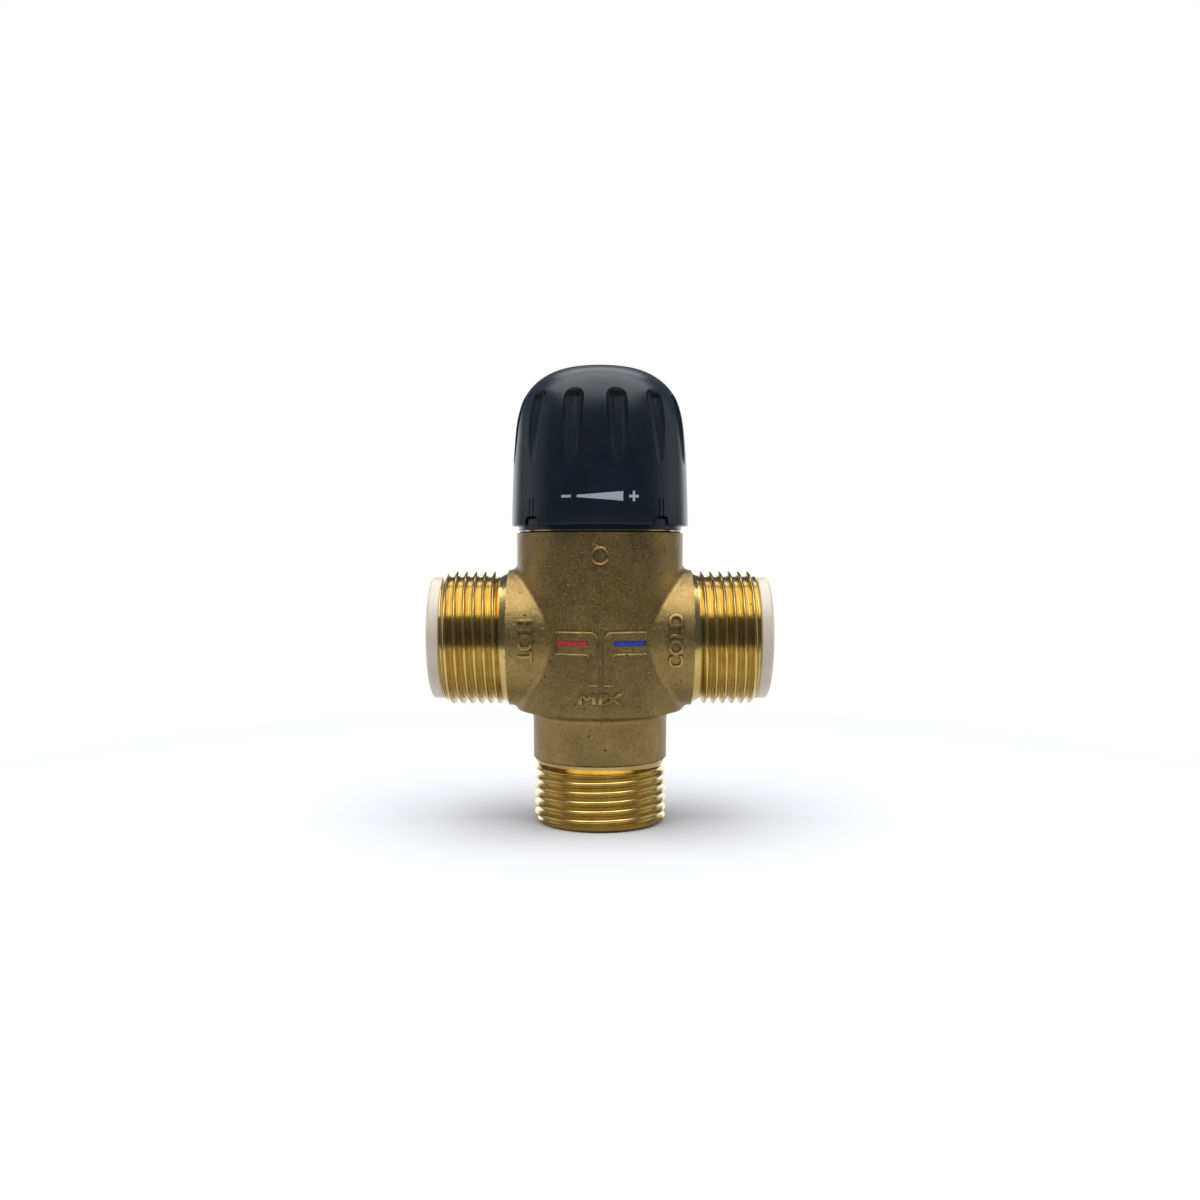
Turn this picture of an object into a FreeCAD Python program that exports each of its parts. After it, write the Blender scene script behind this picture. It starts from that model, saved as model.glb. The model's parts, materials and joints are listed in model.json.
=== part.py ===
import FreeCAD, Part
import math
import os

# Three-way mixing valve for hot and cold water, run by a wax element.
# Millimetres, +Z up along the spindle. The origin is the centre of the outlet's end face.
# The front faces -Y, hot water enters from -X and cold water from +X.

Vector = FreeCAD.Vector
UP = Vector(0, 0, 1)

# --- clearances -------------------------------------------------------------------------
RUN = 0.05              # radial, shafts that turn or slide in a bore
SEAT_GAP = 0.1          # between a closed seat and the piece that shuts it
PLAY = 0.3              # between pieces that move past each other without a fit
THREAD_PLAY = 0.05      # radial, screwed joints drawn as plain cylinders
COILS = 4               # turns of every spring
SEAL_SLACK = 0.02       # between a rubber ring and the walls that squeeze it
SEAL_SIDES = 10

# --- the three threaded ports (G 1) -----------------------------------------------------
THREAD_R = 16.55        # crests of the pipe thread
THREAD_ROOT_R = 15.15
THREAD_PITCH = 2.309
CREST_FLAT = 0.45
CREST_FROM_END = 1.8    # last crest to the end face
PORT_BORE_R = 12.75
RUNOUT = 1.9            # tapered run-out between thread and casting
RUNOUT_STEP = 0.3       # how far its foot stands above the thread's root
OUTLET_THREAD_TOP = 16.2
INLET_AXIS_Z = 46.3
INLET_THREAD_FROM = 22.5
INLET_THREAD_LENGTH = 16.1
INLET_END = INLET_THREAD_FROM + INLET_THREAD_LENGTH

# --- waterways, stacked from the inlets' axis ---------------------------------------------
SEAT_WIDTH = 1.7
STROKE = 1.8
SPOOL_R = 12.0
SPOOL_WALL = 1.4
SPOOL_HEIGHT = 20.4
RETURN_WIRE = 1.2
SPRING_PLAY = 1.0       # between the return spring and the spool's wall
RETURN_SPRING_R = SPOOL_R - SPOOL_WALL - SPRING_PLAY - RETURN_WIRE / 2
THROAT_R = 10.7
WEB_HALF = 2.0          # half the wall between the hot and the cold chamber
WEB_BOTTOM = INLET_AXIS_Z - WEB_HALF
WEB_TOP = INLET_AXIS_Z + WEB_HALF
HOT_SEAT_Z = INLET_AXIS_Z - 11.1
CHAMBER_FLOOR = HOT_SEAT_Z - 1.9
SPRING_LEDGE_Z = HOT_SEAT_Z - 5.9
LEDGE_LIP = 0.2         # the spring's ledge stands in past its wire
LEDGE_BORE_R = RETURN_SPRING_R - RETURN_WIRE / 2 - LEDGE_LIP
LEDGE_THICKNESS = 3.0
COLD_SEAT_Z = HOT_SEAT_Z + STROKE + SPOOL_HEIGHT + 2 * SEAT_GAP
COLD_CHAMBER_TOP = COLD_SEAT_Z + 1.7
WINDOW_INNER_R = SPOOL_R + 1.5

# --- cast body ---------------------------------------------------------------------------
BARREL_R = 20.5
BODY_WALL = 3.15        # around the bonnet's thread
BONNET_DEPTH = 13.2     # of the bonnet's seat in the body
BARREL_TOP = COLD_CHAMBER_TOP + BONNET_DEPTH
BONNET_THREAD_R = BARREL_R - BODY_WALL
CHAMBER_R = BONNET_THREAD_R - 1.15
PORT_BORE_END = BARREL_R - 1.4
NECK_R = 16.7
STUB_R = 16.8
SHOULDER_Z = INLET_AXIS_Z - 18.75       # where the sloping underside would meet the neck
SHOULDER_SLOPE = 0.3    # rise for each millimetre outwards
NECK_FILLET = 1.6
STUB_FILLET = 1.7
RIM_CHAMFER = 0.4

# --- raised marks on the front -----------------------------------------------------------
RELIEF = 0.45
MARK_CENTRE_X = 0.2
PAD_TOP = INLET_AXIS_Z + 2.8
PAD_BAR_HEIGHT = 5.6
PAD_BOTTOM = INLET_AXIS_Z - 10.1
PAD_REACH = 11.0
PAD_STEM = 2.4
PAD_GAP = 1.07
PAD_CORNER_R = 2.0
GROOVE_HEIGHT = 1.25
GROOVE_DEPTH = 0.3
GROOVE_INNER_END = 2.9
RING_MARK_Z = BARREL_TOP - 5.8
RING_MARK_R = 2.2
RING_MARK_LINE = 0.55

# --- bonnet --------------------------------------------------------------------------------
BONNET_FLANGE_R = BONNET_THREAD_R + 1.05
BONNET_FLANGE_H = 1.3
HEX_CORNER_R = BONNET_THREAD_R + 0.55
SPINDLE_BORE_TOP = BARREL_TOP + 4.3
HEX_TOP = SPINDLE_BORE_TOP + 1.5
COLD_SEAT_LIP = 0.4     # the bonnet's nose starts this far above the cold chamber
NECK_TUBE_R = 8.5
HUB_WEB_T = 3.2
CIRCLIP_Z = HEX_TOP + PLAY + HUB_WEB_T + PLAY
CIRCLIP_T = 1.0
CIRCLIP_DEPTH = 0.7
CIRCLIP_WIDTH = 1.35
CIRCLIP_GAP = 3.0
NECK_TUBE_TOP = CIRCLIP_Z + CIRCLIP_T + 1.9
SEAL_GROOVE_Z = COLD_CHAMBER_TOP + 2.3
SEAL_GROOVE_H = 2.4
SEAL_GROOVE_DEPTH = 1.7

# --- spindle and overload pack ---------------------------------------------------------------
SPINDLE_R = 8.0
SPINDLE_BOTTOM = COLD_CHAMBER_TOP + 2.5
SPINDLE_HEAD_TOP = SPINDLE_BORE_TOP - 1.5
SPINDLE_CAVITY_R = 6.4
SPINDLE_CAVITY_TOP = SPINDLE_HEAD_TOP - 2.1
STEM_R = 5.0
STEM_TOP = NECK_TUBE_TOP
STEM_SEAL_W = 2.0
STEM_SEAL_Z = SPINDLE_BORE_TOP + 3.2
STEM_GROOVE_DEPTH = 1.6
SQUARE = 6.2
SQUARE_TOP = STEM_TOP + 6.6
SCREW_R = 1.9
SCREW_HEAD_R = 3.6
SCREW_HEAD_H = 2.5
SCREW_LENGTH = 7.7
GUIDE_TOP = COLD_SEAT_Z
CUP_BOTTOM = GUIDE_TOP + 1.6
CUP_R = 4.4
CUP_POCKET = 3.2
CUP_FLANGE_Z = CUP_BOTTOM + 4.2
CUP_FLANGE_T = 1.2
CUP_SPIGOT_H = 1.6
CUP_SPIGOT_R = 3.8
OVERLOAD_CLIP_T = 0.9
OVERLOAD_CLIP_DEPTH = 0.6
OVERLOAD_SPRING_R = 5.4
OVERLOAD_WIRE = 1.0

# --- wax element and spool -------------------------------------------------------------------
SPIDER_TOP = INLET_AXIS_Z + 4.5
SPIDER_T = 3.4
SPIDER_RING_R = 8.0
SPOOL_GROOVE_W = 2.2
SPOOL_GROOVE_DEPTH = 0.85
ELEMENT_R = 6.4
ELEMENT_LENGTH = 19.2
ELEMENT_BOTTOM = SPIDER_TOP - ELEMENT_LENGTH
ELEMENT_CLIP_T = 1.0
ELEMENT_CLIP_W = 1.7
ELEMENT_CLIP_DEPTH = 0.6
COLLAR_R = 7.8
COLLAR_T = 2.4
GUIDE_R = 4.0
PISTON_R = 2.0
PISTON_BOTTOM = SPIDER_TOP - 3.3
PISTON_BORE_BOTTOM = PISTON_BOTTOM - 3.0

# --- check valve cartridges ------------------------------------------------------------------
CHECK_FLANGE_R = THREAD_ROOT_R
CHECK_FLANGE_T = 2.95
CHECK_BARREL_R = PORT_BORE_R - THREAD_PLAY
CHECK_BORE_R = 10.6
CHECK_MOUTH_R = 10.2
CHECK_SEAT_R = 8.2
CHECK_SEAT_X = INLET_END - 3.4
CHECK_SEAT_T = 1.2
CHECK_INNER_END = CHECK_SEAT_X - 10.6
CAGE_T = 1.5
CAGE_END = CHECK_INNER_END - 1.7
CAGE_HUB_R = 2.7
CAGE_HUB_LENGTH = 3.2
POPPET_R = 9.3
POPPET_T = 1.4
POPPET_STEM_R = 1.6
POPPET_STEM_END = CAGE_END - 0.1
POPPET_NOSE_R = 5.2
POPPET_SEAL_T = 0.7
CHECK_SPRING_R = 3.6
CHECK_WIRE = 0.5
ORING_GROOVE_X = CHECK_INNER_END + 5.4
ORING_GROOVE_W = 2.2
ORING_GROOVE_DEPTH = 1.45

# --- hub and knob ----------------------------------------------------------------------------
HUB_RING_R = BARREL_R - 0.45
HUB_WALL = 1.15
HUB_DISC_T = 2.6
HUB_TOP = HEX_TOP + PLAY + HUB_DISC_T
HUB_TOWER_R = 12.0
SPLINE_R = 10.2
SPLINE_DEPTH = 1.0
SPLINE_TEETH = 16
DRIVER_BOTTOM = STEM_TOP + 1.3
DRIVER_TOP = SQUARE_TOP + 1.7
HUB_TOWER_TOP = DRIVER_TOP + 1.7
LUG_HEIGHT = 1.4
KNOB_RIM_Z = BARREL_TOP + 1.35
KNOB_SKIRT_IN_R = HUB_RING_R + PLAY
KNOB_SKIRT_WALL = 1.35
KNOB_RIM_R = KNOB_SKIRT_IN_R + KNOB_SKIRT_WALL
KNOB_CORE_R = KNOB_RIM_R - 4.7
KNOB_HEADROOM = 17.2    # crown above the hub's tower
KNOB_TOP = HUB_TOWER_TOP + KNOB_HEADROOM
KNOB_CROWN_WALL = 2.6
KNOB_CORNER = 4.5
KNOB_RIBS = 6
KNOB_CLOCKING = -3.4    # degrees, the knob stands turned by this much
FLUTES = 12
FLUTE_TOP = KNOB_TOP - 8.6
FLUTE_BOTTOM = FLUTE_TOP - 15.1
FLUTE_R_BOTTOM = 2.2
FLUTE_R_TOP = 3.0
NOTCHES = 4
NOTCH_HEIGHT = 2.0
NOTCH_TOP_W = 4.2
NOTCH_BOTTOM_W = 5.2
SLIT_LENGTH = 4.2
SLIT_SPACING = 1.35
SLIT_W = 0.35


# --- helpers ---------------------------------------------------------------------------------
def disc(radius, low, high):
    return Part.makeCylinder(radius, high - low, Vector(0, 0, low))


def ring(outer, inner, low, high):
    return disc(outer, low, high).cut(disc(inner, low - 1, high + 1))


def turned(points):
    """Solid of revolution about Z from a closed outline of (radius, height) points."""
    wire = Part.makePolygon([Vector(r, 0, z) for r, z in points + points[:1]])
    return Part.Face(wire).revolve(Vector(0, 0, 0), UP, 360)


def box(x0, x1, y0, y1, z0, z1):
    return Part.makeBox(x1 - x0, y1 - y0, z1 - z0, Vector(x0, y0, z0))


def turn_z(shape, degrees):
    copy = shape.copy()
    copy.rotate(Vector(0, 0, 0), UP, degrees)
    return copy


def around(shape, count, first=0.0):
    return [turn_z(shape, first + 360.0 * k / count) for k in range(count)]


def to_inlet(shape, side):
    """Lay a shape modelled along +Z onto an inlet's axis, pointing outwards (side -1 hot, +1 cold)."""
    copy = shape.copy()
    copy.rotate(Vector(0, 0, 0), Vector(0, 1, 0), 90 * side)
    copy.translate(Vector(0, 0, INLET_AXIS_Z))
    return copy


def coil(mean_r, wire, low, high, turns):
    """Compression spring of square wire, its ends PLAY clear of both seats."""
    start = low + PLAY + wire / 2
    height = high - low - 2 * PLAY - wire
    path = Part.Wire(Part.makeHelix(height / turns, height, mean_r).Edges)
    half = wire / 2
    corners = [(-half, -half), (half, -half), (half, half), (-half, half)]
    section = Part.makePolygon([Vector(mean_r + x, 0, z) for x, z in corners + corners[:1]])
    spring = path.makePipeShell([section], True, True)
    spring.translate(Vector(0, 0, start))
    return spring


def oring(groove_r, bore_r, z):
    """Rubber ring that all but fills the space between a groove's floor and the bore around it."""
    mean = (bore_r + groove_r) / 2
    section = (bore_r - groove_r) / 2 - SEAL_SLACK
    angles = [2 * math.pi * k / SEAL_SIDES for k in range(SEAL_SIDES)]
    return turned([(mean + section * math.cos(a), z + section * math.sin(a)) for a in angles])


def circlip(inner, outer, low, high, gap):
    """Open ring for a groove; the gap faces +Y."""
    return ring(outer, inner, low, high).cut(box(-gap / 2, gap / 2, 0, outer + 1, low - 1, high + 1))


def underside_z(radius):
    return SHOULDER_Z + SHOULDER_SLOPE * (radius - NECK_R)


# --- cast body -------------------------------------------------------------------------------
def threaded_end(length):
    """Outside of one port along +Z from the casting to its end face, with the thread's turns as rings."""
    taper_r = THREAD_ROOT_R + RUNOUT_STEP
    flank = (THREAD_PITCH - 2 * CREST_FLAT) / 2
    outermost = length - CREST_FROM_END
    turns = int((outermost - RUNOUT - CREST_FLAT) / THREAD_PITCH) + 1
    half = CREST_FLAT / 2
    points = [(0, 0), (THREAD_R - 0.2, 0), (taper_r, RUNOUT)]
    for k in reversed(range(turns)):
        crest = outermost - k * THREAD_PITCH
        if k < turns - 1:
            points.append((THREAD_ROOT_R, crest - half - flank))
        points += [(THREAD_R, crest - half), (THREAD_R, crest + half), (THREAD_ROOT_R, crest + half + flank)]
    return turned(points + [(THREAD_ROOT_R, length), (0, length)])


def casting():
    reach = INLET_THREAD_FROM + 8
    barrel = turn_z(disc(BARREL_R, SHOULDER_Z - 8, BARREL_TOP), 90)     # seam at the back, off the joints
    stubs = Part.makeCylinder(STUB_R, 2 * reach, Vector(-reach, 0, INLET_AXIS_Z), Vector(1, 0, 0))
    cross = barrel.fuse(stubs)
    joints = [e for e in cross.Edges if is_stub_joint(e)]
    cross = cross.makeFillet(STUB_FILLET, joints)
    wide = 2 * reach
    below = turned([(0, 0), (wide, 0), (wide, underside_z(wide)), (0, underside_z(0))])
    cross = cross.cut(below)
    keep = box(-INLET_THREAD_FROM, INLET_THREAD_FROM, -wide, wide, 0, BARREL_TOP + 1)
    cross = cross.common(keep)
    neck = disc(NECK_R, OUTLET_THREAD_TOP, SHOULDER_Z + 4)
    body = cross.fuse(neck).removeSplitter()
    corner = [e for e in body.Edges if is_neck_corner(e)]
    body = body.makeFillet(NECK_FILLET, corner)
    rims = [e for e in body.Edges
            if is_circle(e, BARREL_R, BARREL_TOP) or is_circle(e, NECK_R, OUTLET_THREAD_TOP)]
    return body.makeChamfer(RIM_CHAMFER, rims)


def is_circle(edge, radius, z):
    curve = edge.Curve
    round_edge = hasattr(curve, "Radius") and abs(curve.Radius - radius) < 0.01
    return round_edge and abs(edge.BoundBox.ZMin - z) < 0.01 and abs(edge.BoundBox.ZMax - z) < 0.01


def is_neck_corner(edge):
    return is_circle(edge, NECK_R, SHOULDER_Z)


def is_stub_joint(edge):
    """True for the curves where the side stubs run into the barrel."""
    points = edge.discretize(9)
    return all(abs(math.hypot(p.x, p.y) - BARREL_R) < 0.01
               and abs(math.hypot(p.y, p.z - INLET_AXIS_Z) - STUB_R) < 0.01 for p in points)


def arrow_pad(side):
    """Raised L: a bar towards its inlet that turns down to the outlet, with a paint groove."""
    gap = PAD_GAP / 2
    bar_low = PAD_TOP - PAD_BAR_HEIGHT
    corner = PAD_CORNER_R
    a = Vector(gap + corner, 0, PAD_TOP)
    b = Vector(gap + corner * (1 - math.sqrt(0.5)), 0, PAD_TOP - corner * (1 - math.sqrt(0.5)))
    c = Vector(gap, 0, PAD_TOP - corner)
    outline = [(gap, PAD_BOTTOM), (gap + PAD_STEM, PAD_BOTTOM), (gap + PAD_STEM, bar_low),
               (PAD_REACH, bar_low), (PAD_REACH, PAD_TOP)]
    straight = Part.makePolygon([c] + [Vector(x, 0, z) for x, z in outline] + [a])
    wire = Part.Wire([Part.Arc(a, b, c).toShape()] + straight.Edges)
    pad = Part.Face(wire).extrude(Vector(0, -2 * BARREL_R, 0))
    pad = pad.common(disc(BARREL_R + RELIEF, PAD_BOTTOM - 1, PAD_TOP + 1))
    groove_z = INLET_AXIS_Z - GROOVE_HEIGHT / 2
    half = GROOVE_HEIGHT / 2
    slot = box(GROOVE_INNER_END + half, PAD_REACH + 1, -2 * BARREL_R, 0, groove_z, groove_z + GROOVE_HEIGHT)
    end = Part.makeCylinder(half, 2 * BARREL_R, Vector(GROOVE_INNER_END + half, -2 * BARREL_R, INLET_AXIS_Z),
                            Vector(0, 1, 0))
    slot = slot.fuse(end).cut(disc(BARREL_R + RELIEF - GROOVE_DEPTH, PAD_BOTTOM, PAD_TOP))
    pad = pad.cut(slot)
    if side < 0:
        pad = pad.mirror(Vector(0, 0, 0), Vector(1, 0, 0))
    pad.translate(Vector(MARK_CENTRE_X, 0, 0))
    return pad


def ring_mark():
    front = Vector(0, -2 * BARREL_R, RING_MARK_Z)
    inwards = Vector(0, 1, 0)
    tube = Part.makeCylinder(RING_MARK_R, 2 * BARREL_R, front, inwards)
    hole = Part.makeCylinder(RING_MARK_R - RING_MARK_LINE, 2 * BARREL_R + 1, front, inwards)
    band = disc(BARREL_R + RELIEF, RING_MARK_Z - 5, RING_MARK_Z + 5)
    return tube.cut(hole).common(band)


def waterways():
    """Everything that is bored or cored out of the body."""
    top = BARREL_TOP + 1
    spool_bore = SPOOL_R + RUN
    lip = THROAT_R + SEAT_WIDTH
    bore_r = BONNET_THREAD_R + THREAD_PLAY
    ledge_bottom = SPRING_LEDGE_Z - LEDGE_THICKNESS
    outline = [(0, -1), (PORT_BORE_R, -1), (PORT_BORE_R, ledge_bottom - (PORT_BORE_R - LEDGE_BORE_R) / 2),
               (LEDGE_BORE_R, ledge_bottom), (LEDGE_BORE_R, SPRING_LEDGE_Z), (THROAT_R, SPRING_LEDGE_Z),
               (THROAT_R, HOT_SEAT_Z), (lip, HOT_SEAT_Z), (lip, CHAMBER_FLOOR), (CHAMBER_R, CHAMBER_FLOOR),
               (CHAMBER_R, WEB_BOTTOM), (spool_bore, WEB_BOTTOM), (spool_bore, WEB_TOP),
               (CHAMBER_R, WEB_TOP), (CHAMBER_R, COLD_CHAMBER_TOP), (bore_r, COLD_CHAMBER_TOP),
               (bore_r, top), (0, top)]
    tool = turned(outline)
    for side, low, high in ((-1, CHAMBER_FLOOR, WEB_BOTTOM), (1, WEB_TOP, COLD_CHAMBER_TOP)):
        tool = tool.fuse(to_inlet(disc(PORT_BORE_R, PORT_BORE_END, INLET_END + 1), side))
        way = to_inlet(disc(PORT_BORE_R, 0, PORT_BORE_END + 1), side)
        way = way.common(box(-BARREL_R, BARREL_R, -BARREL_R, BARREL_R, low, high))
        tool = tool.fuse(way.cut(disc(WINDOW_INNER_R, 0, top)))
    return tool


def valve_body():
    body = casting()
    outlet = threaded_end(OUTLET_THREAD_TOP)
    outlet.rotate(Vector(0, 0, 0), Vector(1, 0, 0), 180)
    outlet.translate(Vector(0, 0, OUTLET_THREAD_TOP))
    inlet = threaded_end(INLET_THREAD_LENGTH)
    inlet.translate(Vector(0, 0, INLET_THREAD_FROM))
    body = body.fuse([outlet, to_inlet(inlet, -1), to_inlet(inlet, 1)])
    body = body.fuse([arrow_pad(-1), arrow_pad(1), ring_mark()])
    return body.cut(waterways()).removeSplitter()


# --- bonnet and what holds the hub -----------------------------------------------------------
def bonnet():
    nose_r = THROAT_R + SEAT_WIDTH
    nose_root = COLD_CHAMBER_TOP + COLD_SEAT_LIP
    groove_r = BONNET_THREAD_R - SEAL_GROOVE_DEPTH
    clip_r = NECK_TUBE_R - CIRCLIP_DEPTH
    clip_low = CIRCLIP_Z - SEAT_GAP
    clip_high = CIRCLIP_Z + CIRCLIP_T + SEAT_GAP
    stem_bore = STEM_R + RUN
    outline = [(THROAT_R, COLD_SEAT_Z), (nose_r, COLD_SEAT_Z), (nose_r, nose_root),
               (BONNET_THREAD_R, nose_root), (BONNET_THREAD_R, SEAL_GROOVE_Z),
               (groove_r, SEAL_GROOVE_Z), (groove_r, SEAL_GROOVE_Z + SEAL_GROOVE_H),
               (BONNET_THREAD_R, SEAL_GROOVE_Z + SEAL_GROOVE_H), (BONNET_THREAD_R, BARREL_TOP),
               (BONNET_FLANGE_R, BARREL_TOP), (BONNET_FLANGE_R, HEX_TOP), (NECK_TUBE_R, HEX_TOP),
               (NECK_TUBE_R, clip_low), (clip_r, clip_low), (clip_r, clip_high),
               (NECK_TUBE_R, clip_high), (NECK_TUBE_R, NECK_TUBE_TOP), (stem_bore, NECK_TUBE_TOP),
               (stem_bore, SPINDLE_BORE_TOP), (SPINDLE_R + RUN, SPINDLE_BORE_TOP),
               (SPINDLE_R + RUN, SPINDLE_BOTTOM - 1), (THROAT_R, SPINDLE_BOTTOM - 1)]
    body = turned(outline)
    corner = Vector(HEX_CORNER_R, 0, 0)
    hex_wire = Part.makePolygon([FreeCAD.Rotation(UP, 60 * k).multVec(corner) for k in range(7)])
    hexagon = Part.Face(hex_wire).extrude(Vector(0, 0, HEX_TOP))
    flats_low = BARREL_TOP + BONNET_FLANGE_H
    trim = ring(BONNET_FLANGE_R + 1, NECK_TUBE_R, flats_low, HEX_TOP + 1).cut(hexagon)
    return body.cut(trim)


def bonnet_seal():
    groove_r = BONNET_THREAD_R - SEAL_GROOVE_DEPTH
    return oring(groove_r, BONNET_THREAD_R + THREAD_PLAY, SEAL_GROOVE_Z + SEAL_GROOVE_H / 2)


def hub_clip():
    inner = NECK_TUBE_R - CIRCLIP_DEPTH + THREAD_PLAY
    return circlip(inner, inner + CIRCLIP_WIDTH, CIRCLIP_Z, CIRCLIP_Z + CIRCLIP_T, CIRCLIP_GAP)


# --- spindle and overload pack ---------------------------------------------------------------
def spindle():
    groove_r = STEM_R - STEM_GROOVE_DEPTH
    clip_low = CUP_FLANGE_Z - OVERLOAD_CLIP_T - 2 * SEAT_GAP
    clip_high = clip_low + OVERLOAD_CLIP_T
    clip_groove_r = SPINDLE_CAVITY_R + OVERLOAD_CLIP_DEPTH
    seal_low = STEM_SEAL_Z - STEM_SEAL_W / 2
    seal_high = STEM_SEAL_Z + STEM_SEAL_W / 2
    outline = [(SPINDLE_CAVITY_R, SPINDLE_BOTTOM), (SPINDLE_R, SPINDLE_BOTTOM), (SPINDLE_R, SPINDLE_HEAD_TOP),
               (STEM_R, SPINDLE_HEAD_TOP), (STEM_R, seal_low), (groove_r, seal_low),
               (groove_r, seal_high), (STEM_R, seal_high), (STEM_R, STEM_TOP), (0, STEM_TOP),
               (0, SPINDLE_CAVITY_TOP), (SPINDLE_CAVITY_R, SPINDLE_CAVITY_TOP),
               (SPINDLE_CAVITY_R, clip_high + SEAT_GAP),
               (clip_groove_r, clip_high + SEAT_GAP), (clip_groove_r, clip_low - SEAT_GAP),
               (SPINDLE_CAVITY_R, clip_low - SEAT_GAP)]
    half = SQUARE / 2
    square = box(-half, half, -half, half, STEM_TOP, SQUARE_TOP)
    tapped = disc(SCREW_R + THREAD_PLAY, DRIVER_TOP - SCREW_LENGTH - 1, SQUARE_TOP + 1)
    return turned(outline).fuse(square).cut(tapped)


def spindle_seal():
    return oring(STEM_R - STEM_GROOVE_DEPTH, STEM_R + RUN, STEM_SEAL_Z)


def spline_tooth(root_r, depth, low, high, width_deg):
    """One straight-sided tooth pointing outwards from root_r."""
    half = math.radians(width_deg / 2)
    inner = root_r - 1
    tip = root_r + depth
    points = [Vector(inner * math.cos(half * 1.6), -inner * math.sin(half * 1.6), low),
              Vector(tip * math.cos(half), -tip * math.sin(half), low),
              Vector(tip * math.cos(half), tip * math.sin(half), low),
              Vector(inner * math.cos(half * 1.6), inner * math.sin(half * 1.6), low)]
    return Part.Face(Part.makePolygon(points + points[:1])).extrude(Vector(0, 0, high - low))


def splined(root_r, depth, low, high, width_deg):
    teeth = around(spline_tooth(root_r, depth, low, high, width_deg), SPLINE_TEETH, KNOB_CLOCKING)
    return disc(root_r, low, high).fuse(teeth)


def spline_driver():
    body = splined(SPLINE_R - SPLINE_DEPTH - PLAY, SPLINE_DEPTH, DRIVER_BOTTOM, DRIVER_TOP, 8.0)
    half = SQUARE / 2 + THREAD_PLAY
    socket = box(-half, half, -half, half, DRIVER_BOTTOM - 1, SQUARE_TOP + SEAT_GAP)
    return body.cut(socket).cut(disc(SCREW_R + PLAY, DRIVER_BOTTOM, DRIVER_TOP + 1))


def driver_screw():
    head_low = DRIVER_TOP + SEAT_GAP
    head_top = head_low + SCREW_HEAD_H
    shank = disc(SCREW_R, head_low - SCREW_LENGTH, head_top)
    head = disc(SCREW_HEAD_R, head_low, head_top)
    slot = box(-SCREW_HEAD_R, SCREW_HEAD_R, -0.5, 0.5, head_top - 1, head_top)
    return shank.fuse(head).cut(slot)


def overload_cup():
    tip = piston_top()
    flange_top = CUP_FLANGE_Z + CUP_FLANGE_T
    outline = [(0, tip + SEAT_GAP), (PISTON_R + PLAY, tip + SEAT_GAP), (PISTON_R + PLAY, CUP_BOTTOM),
               (CUP_R, CUP_BOTTOM), (CUP_R, CUP_FLANGE_Z), (SPINDLE_CAVITY_R - RUN, CUP_FLANGE_Z),
               (SPINDLE_CAVITY_R - RUN, flange_top), (CUP_SPIGOT_R, flange_top),
               (CUP_SPIGOT_R, flange_top + CUP_SPIGOT_H), (0, flange_top + CUP_SPIGOT_H)]
    return turned(outline)


def piston_top():
    return CUP_BOTTOM + CUP_POCKET


def overload_clip():
    high = CUP_FLANGE_Z - 2 * SEAT_GAP
    outer = SPINDLE_CAVITY_R + OVERLOAD_CLIP_DEPTH - SEAT_GAP
    return circlip(CUP_R + PLAY, outer, high - OVERLOAD_CLIP_T, high, CIRCLIP_GAP)


def overload_spring():
    return coil(OVERLOAD_SPRING_R, OVERLOAD_WIRE, CUP_FLANGE_Z + CUP_FLANGE_T, SPINDLE_CAVITY_TOP, COILS)


def wax_piston():
    rod = disc(PISTON_R, PISTON_BOTTOM, piston_top())
    ends = [e for e in rod.Edges
            if is_circle(e, PISTON_R, PISTON_BOTTOM) or is_circle(e, PISTON_R, piston_top())]
    return rod.makeChamfer(0.3, ends)


# --- shuttle: wax element and spool ----------------------------------------------------------
def spool_bottom():
    return HOT_SEAT_Z + STROKE + SEAT_GAP


def mixing_spool():
    bottom = spool_bottom()
    top = bottom + SPOOL_HEIGHT
    groove_z = (WEB_BOTTOM + WEB_TOP) / 2
    groove_r = SPOOL_R - SPOOL_GROOVE_DEPTH
    inner = SPOOL_R - SPOOL_WALL
    lower = groove_z - SPOOL_GROOVE_W / 2
    upper = groove_z + SPOOL_GROOVE_W / 2
    sleeve = turned([(inner, bottom), (SPOOL_R, bottom), (SPOOL_R, lower), (groove_r, lower),
                     (groove_r, upper), (SPOOL_R, upper), (SPOOL_R, top), (inner, top)])
    spider_low = SPIDER_TOP - SPIDER_T
    boss = ring(SPIDER_RING_R, ELEMENT_R + THREAD_PLAY, spider_low, SPIDER_TOP)
    spoke = box(SPIDER_RING_R - 0.8, inner + 0.4, -1.0, 1.0, spider_low, SPIDER_TOP)
    return sleeve.fuse([boss] + around(spoke, 4, 45))


def spool_seal():
    return oring(SPOOL_R - SPOOL_GROOVE_DEPTH, SPOOL_R + RUN, (WEB_BOTTOM + WEB_TOP) / 2)


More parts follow.
